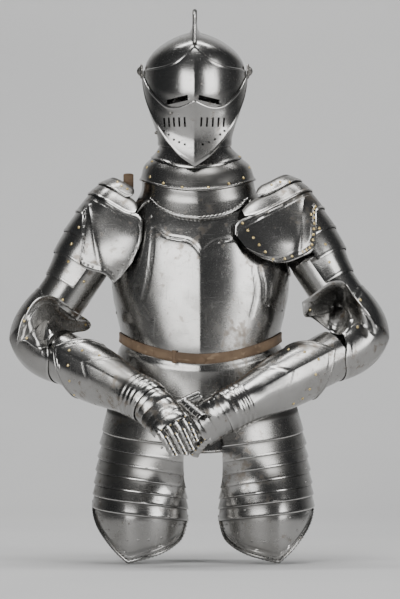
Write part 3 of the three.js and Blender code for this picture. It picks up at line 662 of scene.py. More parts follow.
brass = Finish("brass_heads")
brass_cloud = brass.noise(160.0, 3.0).over(0.4, 0.65)
brass_pits = brass.noise(900.0, 2.0).over(0.55, 0.7)
brass_heads = brass.set(
    base_color=brass.mix(brass_cloud, (0.78, 0.62, 0.30), (0.46, 0.34, 0.15)),
    roughness=0.24 + 0.16 * brass_cloud + 0.2 * brass_pits, metallic=1.0,
    normal=brass.bump(brass_pits * -1.0, 0.0002, 0.5))

neck_phis = turns(-47, 47, 160)
neck_rope = along_edge(body_point, body_out, neck_phis, cuirass_top(neck_phis) + 1.0, 2.4)
rim("breast_neck_rope", neck_rope, 5.2, steel, roped=True)
for arm_side in (-1, 1):
    arm_phis = turns(50, 89, 60) * arm_side
    rim("breast_arm_rim", along_edge(body_point, body_out, arm_phis, cuirass_top(arm_phis), 0.6), 2.6, steel)
rivets("breast_rivets", hit_plates([breast], photo(
    (151, 216.5), (115.5, 313), (283, 311), (269, 305.6), (249, 216)), 3.0), steel)

# Waist belt: a strap of tan leather about 20 mm wide, drawn tight where breastplate and fauld meet,
# with its free end through a loop of the same leather.
leather = Finish("tan_leather")
grain = leather.noise(420.0, 4.0)
mottle = leather.noise(26.0, 5.0, at=(1, 2, 3)).over(0.35, 0.7)
scuffs = leather.noise(120.0, 3.0, stretch=(0.25, 1, 1)).over(0.58, 0.72)
belt_edge = leather.node("ShaderNodeAttribute", [], output="Fac", attribute_name="edge")
leather_colour = leather.mix(mottle, (0.215, 0.145, 0.088), (0.13, 0.083, 0.05))
leather_colour = leather.mix(scuffs * 0.6, leather_colour, (0.33, 0.24, 0.155))
leather_colour = leather.mix(belt_edge * 0.5, leather_colour, (0.07, 0.038, 0.02))
tan_leather = leather.set(base_color=leather_colour, roughness=0.62 + 0.2 * grain,
                          normal=leather.bump(grain + 0.6 * scuffs, 0.0006, 0.7))

ring_phis = turns(-90, 270, 200, ring=True)
belt = plate("waist_strap", body_point, ring_phis,
             (-284.0, -304.0, 8), body_out,
             lambda u, t, v, near, p: STRAP_WALL + 0.9 + 0.25 * np.sin(u * 23) * np.sin(u * 7),
             wall=STRAP_WALL, closed=True)
finish_piece(belt, tan_leather, "waist_belt")
keeper_phis = turns(-19.5, -16.5, 8)
keeper = plate("belt_keeper", body_point, keeper_phis, (-281.5, -306.5, 10),
               body_out, lambda u, t, v, near, p: 2 * STRAP_WALL + 1.6, wall=STRAP_WALL)
finish_piece(keeper, tan_leather)
end_phis = turns(-34, 4, 60)


def end_lift(u, t, v, near, p):
    return 2 * STRAP_WALL + 1.2 - 1.6 * smooth((-28 - np.degrees(u)) / 6)


end_taper = 5 * smooth(np.degrees(end_phis) / 4)
strap_end = plate("belt_end", body_point, end_phis, (-285.5 - end_taper, -302.5 + end_taper, 8),
                  body_out, end_lift, wall=STRAP_WALL)
finish_piece(strap_end, tan_leather)

# Fauld and culet: hoops of steel below the waist, front and rear, riveted to hidden leathers. Their lower
# edges are turned over a wire.
front_phis = turns(-89.9, 89.9, 150)


def hung(u, t, v, near, p):
    return -(STEP + 1.1) * (1 - smooth((-v - 306) / 14))


def hung_upper(u, t, v, near, p):
    return hung(u, t, v, near, p) + sunk_line(np.abs(v + 378), 1.6, 0.8) * (v < -360)


fauld_upper = plate("fauld_hoop_upper", body_point, front_phis,
                    (-290.0, -386.0, 44), body_out,
                    hung_upper)
finish_piece(fauld_upper, steel, "fauld_upper")
arch = -478 + 44 * np.sin(front_phis) ** 2 - 8 * np.sin(2 * front_phis) ** 2
fauld_lower = plate("fauld_hoop_lower", body_point, front_phis, (-376.0, arch, 40), body_out,
                    lambda u, t, v, near, p: -STEP + 0 * v, shaded_lap=10.0)
finish_piece(fauld_lower, steel, "fauld_lower")
rim("fauld_arch_rim", along_edge(body_point, body_out, front_phis, arch, -STEP - 0.6), 2.6, steel)
culet = plate("culet_hoop", body_point, back_phis, (-290.0, -400.0, 40),
              body_out, hung)
finish_piece(culet, steel, "culet")
rim("culet_rim", along_edge(body_point, body_out, back_phis, -400.0, -0.8), 2.6, steel)

# Collar: gorget plates over the shoulders, and two lames round the neck above them. The lowest edge of
# the lames carries a row of brass heads.
SHINGLE = (STEP + 0.2) * 1.15
FULL_RING = 180
collar_phis = turns(-90, 270, FULL_RING, ring=True)


def neck_lame(name, high, low, node):
    def lift(u, t, v, near, p):
        return SHINGLE * t + bead(near, 3.0, 1.6) * (t > 0.5)
    obj = plate(name, body_point, collar_phis, (high, low, 18),
                body_out, lift, closed=True)
    return finish_piece(obj, steel, node)


neck_upper = neck_lame("neck_lame_high", 97.0, 63.0, "neck_lame_upper")
neck_lower = neck_lame("neck_lame_low", 69.0, 20.0, "neck_lame_lower")
for label, phis_here in (("front", turns(-89.9, 89.9, 130)), ("back", back_phis)):
    low_edge = -58 + 10 * np.sin(phis_here) ** 2
    gorget = plate("gorget_" + label + "_plate", body_point, phis_here,
                   (26.0, low_edge, 30), body_out,
                   lambda u, t, v, near, p: -0.1 + (-STEP - 3.3) * smooth(t * 2.6))
    finish_piece(gorget, steel, "gorget_" + label)
rim("collar_rim", along_edge(body_point, body_out, collar_phis, 20.8, SHINGLE - 1.2), 3.2, steel,
    ring=True)
collar_heads = hit_plates([neck_lower, neck_upper], photo(
    (149.5, 176), (163, 182.7), (182, 187), (208.4, 187), (229, 183), (244, 177), (157.8, 150), (151.4, 160),
    (146.3, 166), (250, 166), (240, 155)), 3.2)
back_spots = [(x, 4 + 0.0012 * x * x) for x in (-90, -58, -20, 20, 58, 90)]
collar_heads += hit_plates([neck_lower], [(x, z + 20) for x, z in back_spots], 3.2, back=True)
rivets("collar_rivets", collar_heads, brass_heads)

# Close helmet: a one-piece skull drawn up into a tall comb, a visor, a ventail and a bevor, all hung
# from the same two bolts at the temples. The comb's edge is roped.
AXIS = np.array([-9.5, -5.0, 238.0])
PROFILE = table(["deg", "skull", "comb", "face", "square", "keel"],
                [-66, 150, 90, 222, 4.2, 0.23], [-63, 150, 90, 210, 4.2, 0.23],
                [-55, 140, 90, 171, 4.0, 0.23], [-45, 125, 90, 148, 3.5, 0.22],
                [-35, 112, 90, 137, 2.8, 0.21], [-25, 107, 90, 131, 2.4, 0.19],
                [-10, 104, 90, 120, 2.1, 0.15], [5, 102, 90, 112, 1.9, 0.11], [27, 100, 100, 105, 1.6, 0.06],
                [45, 91, 98, 99, 1.45, 0.02], [62, 83, 101, 95, 1.35, 0], [80, 77, 115, 93, 1.3, 0],
                [100, 81, 123, 93, 1.35, 0], [120, 92, 124, 93, 1.45, 0], [150, 106, 122, 93, 1.8, 0],
                [180, 111, 116, 93, 2.3, 0], [200, 113, 114, 93, 2.5, 0])
CHEEK = table(["z", "half", "front", "back", "centre"],
              [238, 98, 92, 110, -5], [214, 98, 92, 109, -5], [181, 96, 93, 104, -4], [156, 91, 93, 96, -3],
              [128, 81, 88, 84, -2], [104, 74.6, 80, 72.5, -1], [92, 74.6, 78.4, 70.6, 0],
              [80, 75.2, 79, 71.2, 0])


def about_axis(across, rho, deg):
    turn = np.radians(deg)
    y = AXIS[1] - rho * np.cos(turn)
    return np.stack([AXIS[0] + across + 0 * rho, y, AXIS[2] + rho * np.sin(turn)], -1)


def spindle(column, half_width):
    def point(alpha, deg):
        s = np.sin(alpha)
        square = lookup(PROFILE, "deg", "square", deg)
        keel = 1 - lookup(PROFILE, "deg", "keel", deg) * np.abs(s)
        rho = lookup(PROFILE, "deg", column, deg) * np.sqrt(np.maximum(0, 1 - np.abs(s) ** square)) * keel
        return about_axis(s * half_width, rho, deg)
    return point


def spindle_out(alpha, deg, p):
    return (p - AXIS) * np.array([1.5, 1, 1])


def skull_point(alpha, v):
    """Round the crown by angle up to 180, then down the nape, one unit a millimetre."""
    crown = spindle("skull", 100.0)(alpha, np.minimum(v, 180))
    s = np.sin(alpha)
    down = np.maximum(v - 180, 0)
    z = AXIS[2] - down
    ease = smooth(down / 30)
    square = 2.3 + (2.0 - 2.3) * ease
    half = 100 + (lookup(CHEEK, "z", "half", z) - 100) * ease
    back_depth = 111 + (lookup(CHEEK, "z", "back", z) + 0.5 - 111) * ease
    centre = -5 + (lookup(CHEEK, "z", "centre", z) + 5) * ease
    y = centre + back_depth * np.sqrt(np.maximum(0, 1 - np.abs(s) ** square))
    nape = np.stack([AXIS[0] + s * half, y, z], -1)
    return np.where((v > 180)[..., None], nape, crown)


alphas = turns(-89.4, 89.4, 84)
skull_v = np.repeat(np.concatenate([np.linspace(3, 180, 84), 180 + np.linspace(2, 148, 36)])[None, :], 84,
                    axis=0)
skull = plate("helmet_bowl", skull_point, alphas, skull_v, spindle_out)
finish_piece(skull, steel, "helmet_skull")

comb_deg = np.linspace(30, 196, 130)
comb_root = lookup(PROFILE, "deg", "skull", comb_deg) - 1.2
comb_top = np.maximum(comb_root + 2.0, lookup(PROFILE, "deg", "comb", comb_deg) - 2.0)
comb_bands = [(10.5, comb_root - 0.8), (5.8, comb_root * 0.8 + comb_top * 0.2),
              (3.4, comb_root * 0.35 + comb_top * 0.65), (2.8, comb_top)]
comb_section = [(-half, rho) for half, rho in comb_bands] + comb_bands[::-1]
comb_points = np.stack([about_axis(half, rho, comb_deg) for half, rho in comb_section], 1)
COMB_ROWS, COMB_SIDES = comb_points.shape[:2]
comb_index = np.arange(COMB_ROWS * COMB_SIDES).reshape(COMB_ROWS, COMB_SIDES)
comb_faces = [(comb_index[i, k], comb_index[i, (k + 1) % COMB_SIDES], comb_index[i + 1, (k + 1) % COMB_SIDES],
               comb_index[i + 1, k]) for i in range(COMB_ROWS - 1) for k in range(COMB_SIDES)]
comb_faces += [tuple(comb_index[0, ::-1]), tuple(comb_index[-1])]
comb = mesh_object("helmet_comb", comb_points.reshape(-1, 3) / 1000, comb_faces, 0.9)
settle(comb)
finish_piece(comb, steel)
rim("comb_rope", about_axis(0, comb_top + 1.5, comb_deg), 4.6, steel, roped=True)

# Visor: a pointed plate of steel with two sights cut through, hung outside the bevor. It lifts about the
# temple bolts.
VISOR_EDGES = table(["s", "top", "low"], [0, 27, -34], [0.17, 18, -38], [0.35, 10, -42], [0.6, 5, -45],
                    [0.85, 4, -43], [0.98, 5, -42])
VENTAIL_EDGES = table(["s", "top", "low"], [0, -28, -64], [0.3, -36, -62.5], [0.55, -39, -60],
                      [0.7, -37.5, -58], [0.9, -35, -57], [0.98, -32, -58])
VISOR_HALF = 102.5
VENTAIL_HALF = 105.0
across = turns(-86, 86, 120)


def edge_of(rows, column):
    return lookup(rows, "s", column, np.abs(np.sin(across)))


def cut_out(obj, cutters):
    """Takes closed cutters, given as outlines in the front view, out of a plate."""
    tool = bmesh.new()
    for outline in cutters:
        near_ring = [tool.verts.new((x / 1000, -0.30, z / 1000)) for x, z in outline]
        far_ring = [tool.verts.new((x / 1000, -0.03, z / 1000)) for x, z in outline]
        tool.faces.new(near_ring)
        tool.faces.new(far_ring[::-1])
        for i in range(len(outline)):
            k = (i + 1) % len(outline)
            tool.faces.new((near_ring[i], far_ring[i], far_ring[k], near_ring[k]))
    bmesh.ops.recalc_face_normals(tool, faces=tool.faces)
    mesh = bpy.data.meshes.new("cutter")
    tool.to_mesh(mesh)
    tool.free()
    cutter = linked("cutter", mesh)
    modifier = obj.modifiers.new("cut", "BOOLEAN")
    modifier.operation = "DIFFERENCE"
    modifier.solver = "EXACT"
    modifier.object = cutter
    plain(obj)
    bpy.data.objects.remove(cutter)


SIGHTS = [photo((166.7, 99.2), (187.6, 94.6), (188.3, 99.8), (167.6, 104.2)),
          photo((199.1, 94.6), (219.8, 99.2), (219.3, 104.2), (198.6, 99.8))]


def visor_lift(u, t, v, near, p):
    high = bead(near, 2.5, 1.8, 1.0)
    for sight in SIGHTS:
        high = high + bead(from_line(p, sight[2:]), 0.0, 2.2, 1.3)
    return high


visor = plate("visor_plate", spindle("face", VISOR_HALF), across,
              (edge_of(VISOR_EDGES, "top"), edge_of(VISOR_EDGES, "low"), 60), spindle_out, visor_lift)
cut_out(visor, SIGHTS)
finish_piece(visor, steel, "helmet_visor", body="visor")

# Ventail: the lower face plate of steel with breaths cut through, slots above and round holes below. It
# hangs outside the visor on the same bolts.
SLOT_HALF, SLOT_HIGH, SLOT_LOW, SLOT_SLANT = 0.9, 116.8, 126.2, 0.6
HOLE_RADIUS = 2.5
NOSE_X = 193
SLOT_X = (163.8, 168.6, 173.6, 178.9, 184.4, 201.6, 207.4, 213.2, 218.8, 224.2)
ROUND_AT = photo((163.8, 129.5), (168.6, 133.9), (173.8, 139), (179.1, 141.6), (184.8, 143.9),
                 (202.7, 143.9), (209.1, 141.6), (215, 138.6), (220.3, 133.9), (224.6, 130.1))
slots = []
for px in SLOT_X:
    tilt = SLOT_SLANT * (1 if px > NOSE_X else -1)
    slots.append(photo((px - SLOT_HALF, SLOT_HIGH), (px + SLOT_HALF, SLOT_HIGH),
                       (px + SLOT_HALF - tilt, SLOT_LOW), (px - SLOT_HALF - tilt, SLOT_LOW)))
holes = [[(x + HOLE_RADIUS * math.cos(a), z + HOLE_RADIUS * math.sin(a))
          for a in np.linspace(0, 2 * math.pi, 10, endpoint=False)] for x, z in ROUND_AT]


def ventail_lift(u, t, v, near, p):
    return STEP + 0.3 + bead(near, 2.5, 1.6)


ventail = plate("ventail_plate", spindle("face", VISOR_HALF + 0.3), across,
                (edge_of(VENTAIL_EDGES, "top"), edge_of(VENTAIL_EDGES, "low"), 50), spindle_out, ventail_lift)
cut_out(ventail, slots + holes)
finish_piece(ventail, steel, "helmet_ventail", body="ventail")

# Bevor: the chin plate of steel that closes the helmet's front below the ventail, down to the collar. It
# hangs from the temple bolts under the other plates, and its breaths lie behind the ventail's.
def cheek_point(phi, z):
    c, s = np.cos(phi), np.sin(phi)
    depth = np.where(c > 0, lookup(CHEEK, "z", "front", z), lookup(CHEEK, "z", "back", z))
    return np.stack([AXIS[0] + lookup(CHEEK, "z", "half", z) * s,
                     lookup(CHEEK, "z", "centre", z) - depth * c, z], -1)


bevor_phis = turns(-89.6, 89.6, 90)
bevor = plate("bevor_plate", cheek_point, bevor_phis,
              (214 + (150 - 214) * np.cos(bevor_phis) ** 2, 90 - 8 * np.cos(bevor_phis), 40), body_out)
cut_out(bevor, slots + holes)
finish_piece(bevor, steel, "helmet_bevor")
rivets("bevor_stud", hit_plates([bevor], photo((238.4, 129.5), (156, 130.7)), 3.4), dark_steel, height=1.3)
rivets("lifting_peg", hit_plates([ventail], photo((170.8, 112.6)), 3.4), dark_steel, "ventail", 1.8)
rivets("visor_bolt", hit_plates([visor], photo((192.3, 101.4)), 2.6), dark_steel, "visor", 0.8)

# Temple bolts: domed steel heads on rosette washers of eight petals. They hold visor, ventail, bevor and
# skull together, and the visor and the ventail turn on them.
BOLT_STEPS = 48
PETALS = 8
for side, node in ((-1, "helmet_pivot_left"), (1, "helmet_pivot_right")):
    profile = [(0, 10.0), (3.0, 9.6), (6.0, 8.0), (8.2, 5.0), (8.8, 3.2), (9.4, 2.8), (12.8, 1.8),
               (13.8, 0.2), (13.2, -1.8)]
    points = []
    for k in range(BOLT_STEPS):
        turn = 2 * math.pi * k / BOLT_STEPS
        for r, out in profile:
            petal = 1 + (0.10 * math.cos(turn * PETALS) if r > 8 else 0)
            rise = out + (0.5 * math.cos(turn * PETALS) if 9 < r < 13.5 else 0)
            points.append((AXIS[0] + side * (VENTAIL_HALF + 1.2 + rise), AXIS[1] + r * petal * math.cos(turn),
                           AXIS[2] + r * petal * math.sin(turn)))
    n = len(profile)
    faces = [[k * n + i, (k + 1) % BOLT_STEPS * n + i, (k + 1) % BOLT_STEPS * n + i + 1, k * n + i + 1]
             for k in range(BOLT_STEPS) for i in range(n - 1)]
    faces.append([k * n + n - 1 for k in range(BOLT_STEPS)])
    bolt = mesh_object("temple_bolt", np.array(points) / 1000, faces, 0.8)
    settle(bolt, merge=1e-5)
    finish_piece(bolt, dark_steel, node)

# Arms: cannons round the upper and lower arm, a couter with a wing at each elbow, and a gauntlet with a
# flared cuff, a metacarpal plate and a sheet of finger scales. All of steel, pinned and riveted.
ARMS = {
    "left": dict(side=-1, shoulder=(-173, -15, -61), elbow=(-331, -50, -303), wrist=(-98, -240, -421),
                 knuckle=(-50, -292, -470), tip=(-24, -292, -522), back=(-0.386, -0.857, 0.334),
                 hand_back=(0.35, -0.93, 0.1)),
    "right": dict(side=1, shoulder=(175, -15, -55), elbow=(331, -68, -296), wrist=(48, -240, -440),
                  knuckle=(-8, -238, -474), tip=(-34, -224, -516), back=(0.386, -0.857, 0.334),
                  hand_back=(-0.3, -0.95, 0.05)),
}


class Limb:
    """A path through an arm's joints with rounded corners, and the directions across it."""

    def __init__(self, arm):
        back = np.array(arm["back"], float)
        hand_back = np.array(arm["hand_back"], float)
        joints = [(arm["shoulder"], back, 0), (arm["elbow"], back, 80),
                  (arm["wrist"], (back + hand_back) / 2, 22), (arm["knuckle"], hand_back, 18),
                  (arm["tip"], hand_back, 0)]
        self.hand = -arm["side"]
        points, backs = [], []
        self.marks = []
        for i, (at, facing, fillet) in enumerate(joints):
            at = np.array(at, float)
            self.marks.append(len(points))
            if not fillet:
                points.append(at)
                backs.append(facing)
                continue
            a = at + unit(np.array(joints[i - 1][0], float) - at) * fillet
            b = at + unit(np.array(joints[i + 1][0], float) - at) * fillet
            for t in np.linspace(0, 1, 81):
                points.append(a * (1 - t) ** 2 + at * 2 * t * (1 - t) + b * t * t)
                backs.append(facing)
        self.points = np.array(points)
        self.backs = np.array(backs)
        steps = np.linalg.norm(np.diff(self.points, axis=0), axis=1)
        self.run = np.concatenate([[0], np.cumsum(steps)])
        self.length = self.run[-1]

    def mark(self, joint, end=False):
        return self.run[self.marks[joint] + (80 if end else 0)]

    def at(self, s):
        i = np.clip(np.searchsorted(self.run, s) - 1, 0, len(self.run) - 2)
        t = (s - self.run[i]) / (self.run[i + 1] - self.run[i])
        tc = np.clip(t, 0, 1)
        return (self.points[i] + (self.points[i + 1] - self.points[i]) * t[..., None],
                self.backs[i] + (self.backs[i + 1] - self.backs[i]) * tc[..., None])

    def frame(self, s):
        s = np.asarray(s, float)
        p, back = self.at(s)
        t = unit(self.at(s + 6)[0] - self.at(s - 6)[0])
        back = unit(back - t * np.sum(back * t, -1, keepdims=True))
        return p, t, back, np.cross(t, back) * self.hand


def ring(limb, radii):
    def point(alpha, s):
        p, t, back, side = limb.frame(s)
        wide, deep = radii(s, alpha)
        return p + side * (wide * np.cos(alpha))[..., None] + back * (deep * np.sin(alpha))[..., None]
    return point


def ring_out(limb):
    return lambda alpha, s, p: p - limb.frame(s)[0]


PAULDRON = table(["s", "radius", "left", "right"],
                 [-95, 30, 12, 70], [-75, 46, 22, 82], [-50, 60, 36, 87], [-22, 67.5, 46, 87],
                 [12, 69.5, 50, 83], [40, 69.5, 48, 78], [64, 69, 43, 70], [85, 67.5, 36, 56],
                 [110, 64, 30, 40], [140, 57.5, 26, 30], [166, 53.6, 24, 24])
MAIN = {
    "left": table(["deg", "top", "low"], [-105, -24, 28], [40, -24, 27], [71, -24, 32], [95, -24, 74],
                  [117, -24, 116], [135, -24, 116], [150, -24, 108], [157, 8, 108], [162, 52, 110],
                  [165, 92, 111]),
    "right": table(["deg", "top", "low"], [-105, -24, 28], [40, -24, 27], [71, -24, 32], [95, -24, 68],
                   [116, -24, 96], [142, -24, 95], [154, -24, 87], [159, -24, 70], [162, -6, 36]),
}
SHIELD_CREASES = {"left": photo((89, 205), (94, 236), (101.8, 273)),
                  "right": photo((304, 199), (300, 231), (295.8, 266))}
UPPER_RADIUS, WRIST_RADIUS = 51, 41
COUTER_HALF, COUTER_BULGE = 78, 19
CUFF_LENGTH, CUFF_FLARE, CUFF_PAST_WRIST = 128, 8, 26
FLUTE_SPACING, FLUTED_FROM, FLUTED_TO = 11, 6, 50
HAND_HALF, HAND_DEEP, HAND_BAR = 42, 25, 17.0
FINGER_PLACES, FINGER_SHORT = (-28.5, -9.5, 9.5, 28.5), (13, 2, 0, 7)
THUMB_RADIUS, THUMB_BAR = 13, 12.0
TOP_ANGLE = 92
SCALES = 5
arm_plates = {}


def shingle(start, end, following):
    return lambda u, t, v, near, p: (STEP + 0.7) * (end - start) * t / (following - start)


for label, arm in ARMS.items():
    limb = Limb(arm)
    out = ring_out(limb)
    elbow_start, elbow_end, wrist_start = limb.mark(1), limb.mark(1, True), limb.mark(2)
    knuckle = limb.mark(3, True) - (limb.mark(3, True) - limb.mark(3)) * 0.5
    ring_deg = turns(0, 360, 72, ring=True)
    cannon = ring(limb, lambda s, a: (UPPER_RADIUS + 0 * s, UPPER_RADIUS + 0 * s))

    def taper(s):
        part_way = smooth((s - elbow_end) / (wrist_start - elbow_end))
        return UPPER_RADIUS + (WRIST_RADIUS - UPPER_RADIUS) * part_way

    # Cannons: plain tubes of steel, closed behind by hinges and pins in the real piece.
    upper = plate("upper_cannon_plate_" + label, cannon, ring_deg,
                  (100.0, elbow_start - 2, 30), out, closed=True)
    finish_piece(upper, steel, "upper_cannon_" + label)
    lower = plate("lower_cannon_plate_" + label, ring(limb, lambda s, a: (taper(s), taper(s))), ring_deg,
                  (elbow_end + 2, wrist_start - 14, 40), out, closed=True)
    finish_piece(lower, steel, "lower_cannon_" + label)

    # Couter: a cup of steel over the elbow's point, creased across, with a sunk line along its border.
    middle = (elbow_start + elbow_end) / 2
    couter_deg = turns(-120, 120, 90)
    couter_half = COUTER_HALF - 30 * smooth((np.abs(np.degrees(couter_deg)) - 50) / 80)

    def couter_lift(u, t, v, near, p):
        ends = 1 - 0.7 * smooth((np.abs(np.degrees(u)) - 60) / 80)
        bulge = COUTER_BULGE * (1 - np.abs(2 * t - 1)) ** 1.35 * ends
        crease = 2.2 * np.exp(-np.abs(np.degrees(u) - 30) / 9) * np.sin(np.pi * t)
        return STEP + bulge + crease + sunk_pair(np.abs(near - 9), 2.0, 1.2, 0.8)

    couter = plate("couter_plate_" + label, cannon, couter_deg,
                   (middle - couter_half, middle + couter_half, 64), out, couter_lift)
    finish_piece(couter, steel, "couter_" + label)

    # Gauntlet: a flared cuff with a pointed mouth, flutes at the wrist, and a barred plate over the hand.
    mouth = wrist_start - CUFF_LENGTH
    wrist_end = wrist_start + CUFF_PAST_WRIST

    def cuff_radii(s, a=0):
        t = np.clip((s - mouth) / (wrist_end - mouth), -0.3, 1.2)
        r = taper(s) + STEP + 0.3 + CUFF_FLARE * (1 - smooth(t * 1.35))
        return r, r - 5 * smooth((t - 0.85) * 5)

    def cuff_lift(u, t, v, near, p):
        border = sunk_pair(np.abs(near - 11), 2.0, 1.2, 0.8) * (t < 0.4)
        from_wrist = wrist_end - v
        flutes = 1.3 * (0.5 + 0.5 * np.cos(2 * np.pi * from_wrist / FLUTE_SPACING))
        fluted = (from_wrist > FLUTED_FROM) * (from_wrist < FLUTED_TO)
        away = np.abs(np.degrees(u) - TOP_ANGLE)
        chevron = sunk_pair(np.abs(from_wrist - 150 + 0.9 * np.minimum(away, 60)), 2.2, 1.2, 0.9)
        ridge = 2.5 * np.exp(-away / 12) * smooth((from_wrist - FLUTED_TO) / 40)
        return border + flutes * fluted + chevron * (away < 75) + ridge

    cuff_deg = turns(0, 360, 108, ring=True)
    cuff_point = ring(limb, cuff_radii)
    flap_back, flap_point = (20, 56) if label == "left" else (46, 56)
    to_point = np.maximum(0, 1 - np.abs(np.degrees(cuff_deg) - TOP_ANGLE) / 82) ** 1.1
    cuff_mouth = mouth - flap_back - flap_point * to_point
    cuff = plate("gauntlet_cuff_plate_" + label, cuff_point, cuff_deg,
                 (cuff_mouth, wrist_end, 96), out, cuff_lift, closed=True)
    finish_piece(cuff, steel, "gauntlet_cuff_" + label)
    rim("cuff_mouth_rim_" + label, along_edge(cuff_point, out, cuff_deg, cuff_mouth + 0.5, -0.6), 2.3, steel,
        ring=True)

    wrist_wide, wrist_deep = cuff_radii(np.array(wrist_end))

    def hand_radii(s, a=0):
        t = smooth((s - wrist_end + 8) / 50)
        return ((wrist_wide - STEP - 1.1) * (1 - t) + HAND_HALF * t,
                (wrist_deep - STEP - 1.1) * (1 - t) + HAND_DEEP * t)

    def hand_lift(u, t, v, near, p):
        bars = 0.9 * np.abs(np.sin(np.pi * (v - wrist_end + 8) / HAND_BAR)) ** 0.6
        return bars - 0.9

    hand_deg = turns(-15, 195, 80)
    metacarpal = plate("metacarpal_plate_" + label, ring(limb, hand_radii), hand_deg,
                       (wrist_end - 8, knuckle - 4, 60), out, hand_lift)
    finish_piece(metacarpal, steel, "metacarpal_" + label)

    # Four fingers of overlapping scales, sewn to a leather glove finger by finger.
    finger_parts = []
    finger_heads = []
    for across_hand, short in zip(FINGER_PLACES, FINGER_SHORT):
        reach_end = limb.length - 6 - short
        for j in range(SCALES):
            start = knuckle - 16 + (reach_end - knuckle + 16) * j / SCALES
            end = knuckle - 16 + (reach_end - knuckle + 16) * (j + 1) / SCALES + 4
            spread = 1 - 0.10 * j / SCALES

            def scale_point(a, v, across_hand=across_hand, spread=spread):
                p, t, back, side = limb.frame(v)
                wide, deep = hand_radii(v)
                drop = deep * np.sqrt(np.maximum(0.05, 1 - (across_hand / 46) ** 2)) - 12.5
                centre = p + side * (across_hand * spread) + back * np.asarray(drop)[..., None]
                return centre + side * (9.6 * np.sin(a))[..., None] + back * (9.0 * np.cos(a))[..., None]

            def scale_out(a, v, p):
                _, _, back, side = limb.frame(v)
                return side * np.sin(a)[..., None] + back * np.cos(a)[..., None]

            def scale_lift(u, t, v, near, p, j=j):
                return 0.3 + 1.5 * t - 0.25 * j + bead(near, 1.6, 1.0, 0.35)

            scale_deg = turns(-96, 96, 17)
            bow = 2.5 * np.cos(scale_deg) ** 2
            part = plate("scale", scale_point, scale_deg, (start, end - 2.5 + bow, 7),
                         scale_out, scale_lift, wall=1.0)
            finger_parts.append(part)
            spot = scale_point(np.array([0.0]), np.array([end - 3.5]))
            facing = limb.frame(np.array([end - 3.5]))[2]
            finger_heads.append((tuple(spot[0] + facing[0] * (1.9 - 0.25 * j)), tuple(facing[0]), 1.5))
    fingers = join("finger_scales_" + label, finger_parts)
    finish_piece(fingers, steel, "fingers_" + label)
    rivets("finger_heads_" + label, finger_heads, brass_heads)

    # Thumb: a short barred gutter of steel beside the hand, hinged to the metacarpal plate in the real piece.
    root_p, root_t, root_back, root_side = limb.frame(knuckle - 30)
    thumb_base = root_p - root_side * (HAND_HALF + THUMB_RADIUS - 0.5)

    def thumb_point(a, v):
        a = np.asarray(a, float)[..., None]
        v = np.asarray(v, float)[..., None]
        return (thumb_base + root_t * v - root_side * (THUMB_RADIUS * np.cos(a) + 0.1 * v)
                + root_back * (THUMB_RADIUS * np.sin(a) - 6))

    def thumb_lift(u, t, v, near, p):
        return 1.2 * ((v / THUMB_BAR) % 1.0) - 0.6

    thumb_deg = turns(-20, 160, 30)
    thumb = plate("thumb_scales_" + label, thumb_point, thumb_deg, (-14.0, 44.0, 50),
                  lambda a, v, p: p - (thumb_base + root_t * np.asarray(v)[..., None]), thumb_lift)
    finish_piece(thumb, steel, "thumb_" + label)

    # Shoulder: bands of steel round the upper arm under a shield that stands out over the armpit.
    def shoulder_radii(s, a):
        flare = lookup(PAULDRON, "s", label, s) * np.maximum(0, (np.degrees(a) - 100) / 60) ** 2.3
        r = lookup(PAULDRON, "s", "radius", s) + flare
        return r, r

    shoulder = ring(limb, shoulder_radii)
    bands = [("top", -72, -44, -60, 127 if label == "left" else 138, shingle(-72, -44, -50)),
             ("lame", -50, -16, -75, 141 if label == "left" else 153, shingle(-50, -16, -24)),
             ("arm_upper", 18, 72, -90, 117, shingle(18, 72, 64)),
             ("arm_lower", 64, 118, -105, 117, shingle(64, 118, 110)),
             ("turned", 110, 164, -105, 129, lambda u, t, v, near, p: 0 * v)]
    made_bands = []
    for part, start, end, low_deg, high_deg, lift in bands:
        deg = turns(low_deg, high_deg, 64)

        def beaded(u, t, v, near, p, lift=lift):
            return lift(u, t, v, near, p) + bead(near, 2.5, 1.5, 0.8) * (t > 0.5)

        corner = np.clip((np.degrees(deg) - high_deg + 13) / 13, 0, 1) if part in ("top", "lame") else 0 * deg
        cut = 11 * (1 - np.sqrt(1 - 0.98 * corner ** 2))
        band = plate("shoulder_" + part + "_" + label, shoulder, deg, (start + cut, end - cut, 20), out,
                     beaded, shaded_lap=6.0)
        finish_piece(band, steel, "pauldron_" + label + "_" + part)
        made_bands.append(band)
    main_rows = MAIN[label]
    main_deg = np.linspace(-90, main_rows["deg"][-1], 110)

    def shield_lift(u, t, v, near, p):
        base = np.maximum(0, (STEP + 0.3) * (v + 24) / 42)
        roll = bead(near, 1.5, 2.2, 1.6)
        crease = 3.2 * np.exp(-from_line(p, SHIELD_CREASES[label]) / 5)
        return base + roll + crease + sunk_pair(np.abs(near - 14), 1.6, 1.1, 0.9) * (np.degrees(u) > 60)

    shield = plate("shoulder_shield_" + label, shoulder, np.radians(main_deg),
                   (lookup(main_rows, "deg", "top", main_deg), lookup(main_rows, "deg", "low", main_deg), 60),
                   out, shield_lift)
    finish_piece(shield, steel, "pauldron_" + label + "_main")
    arm_plates[label] = dict(limb=limb, shoulder=shoulder, shield=shield, bands=made_bands, couter=couter,
                             cuff=cuff, lower=lower, upper=upper)

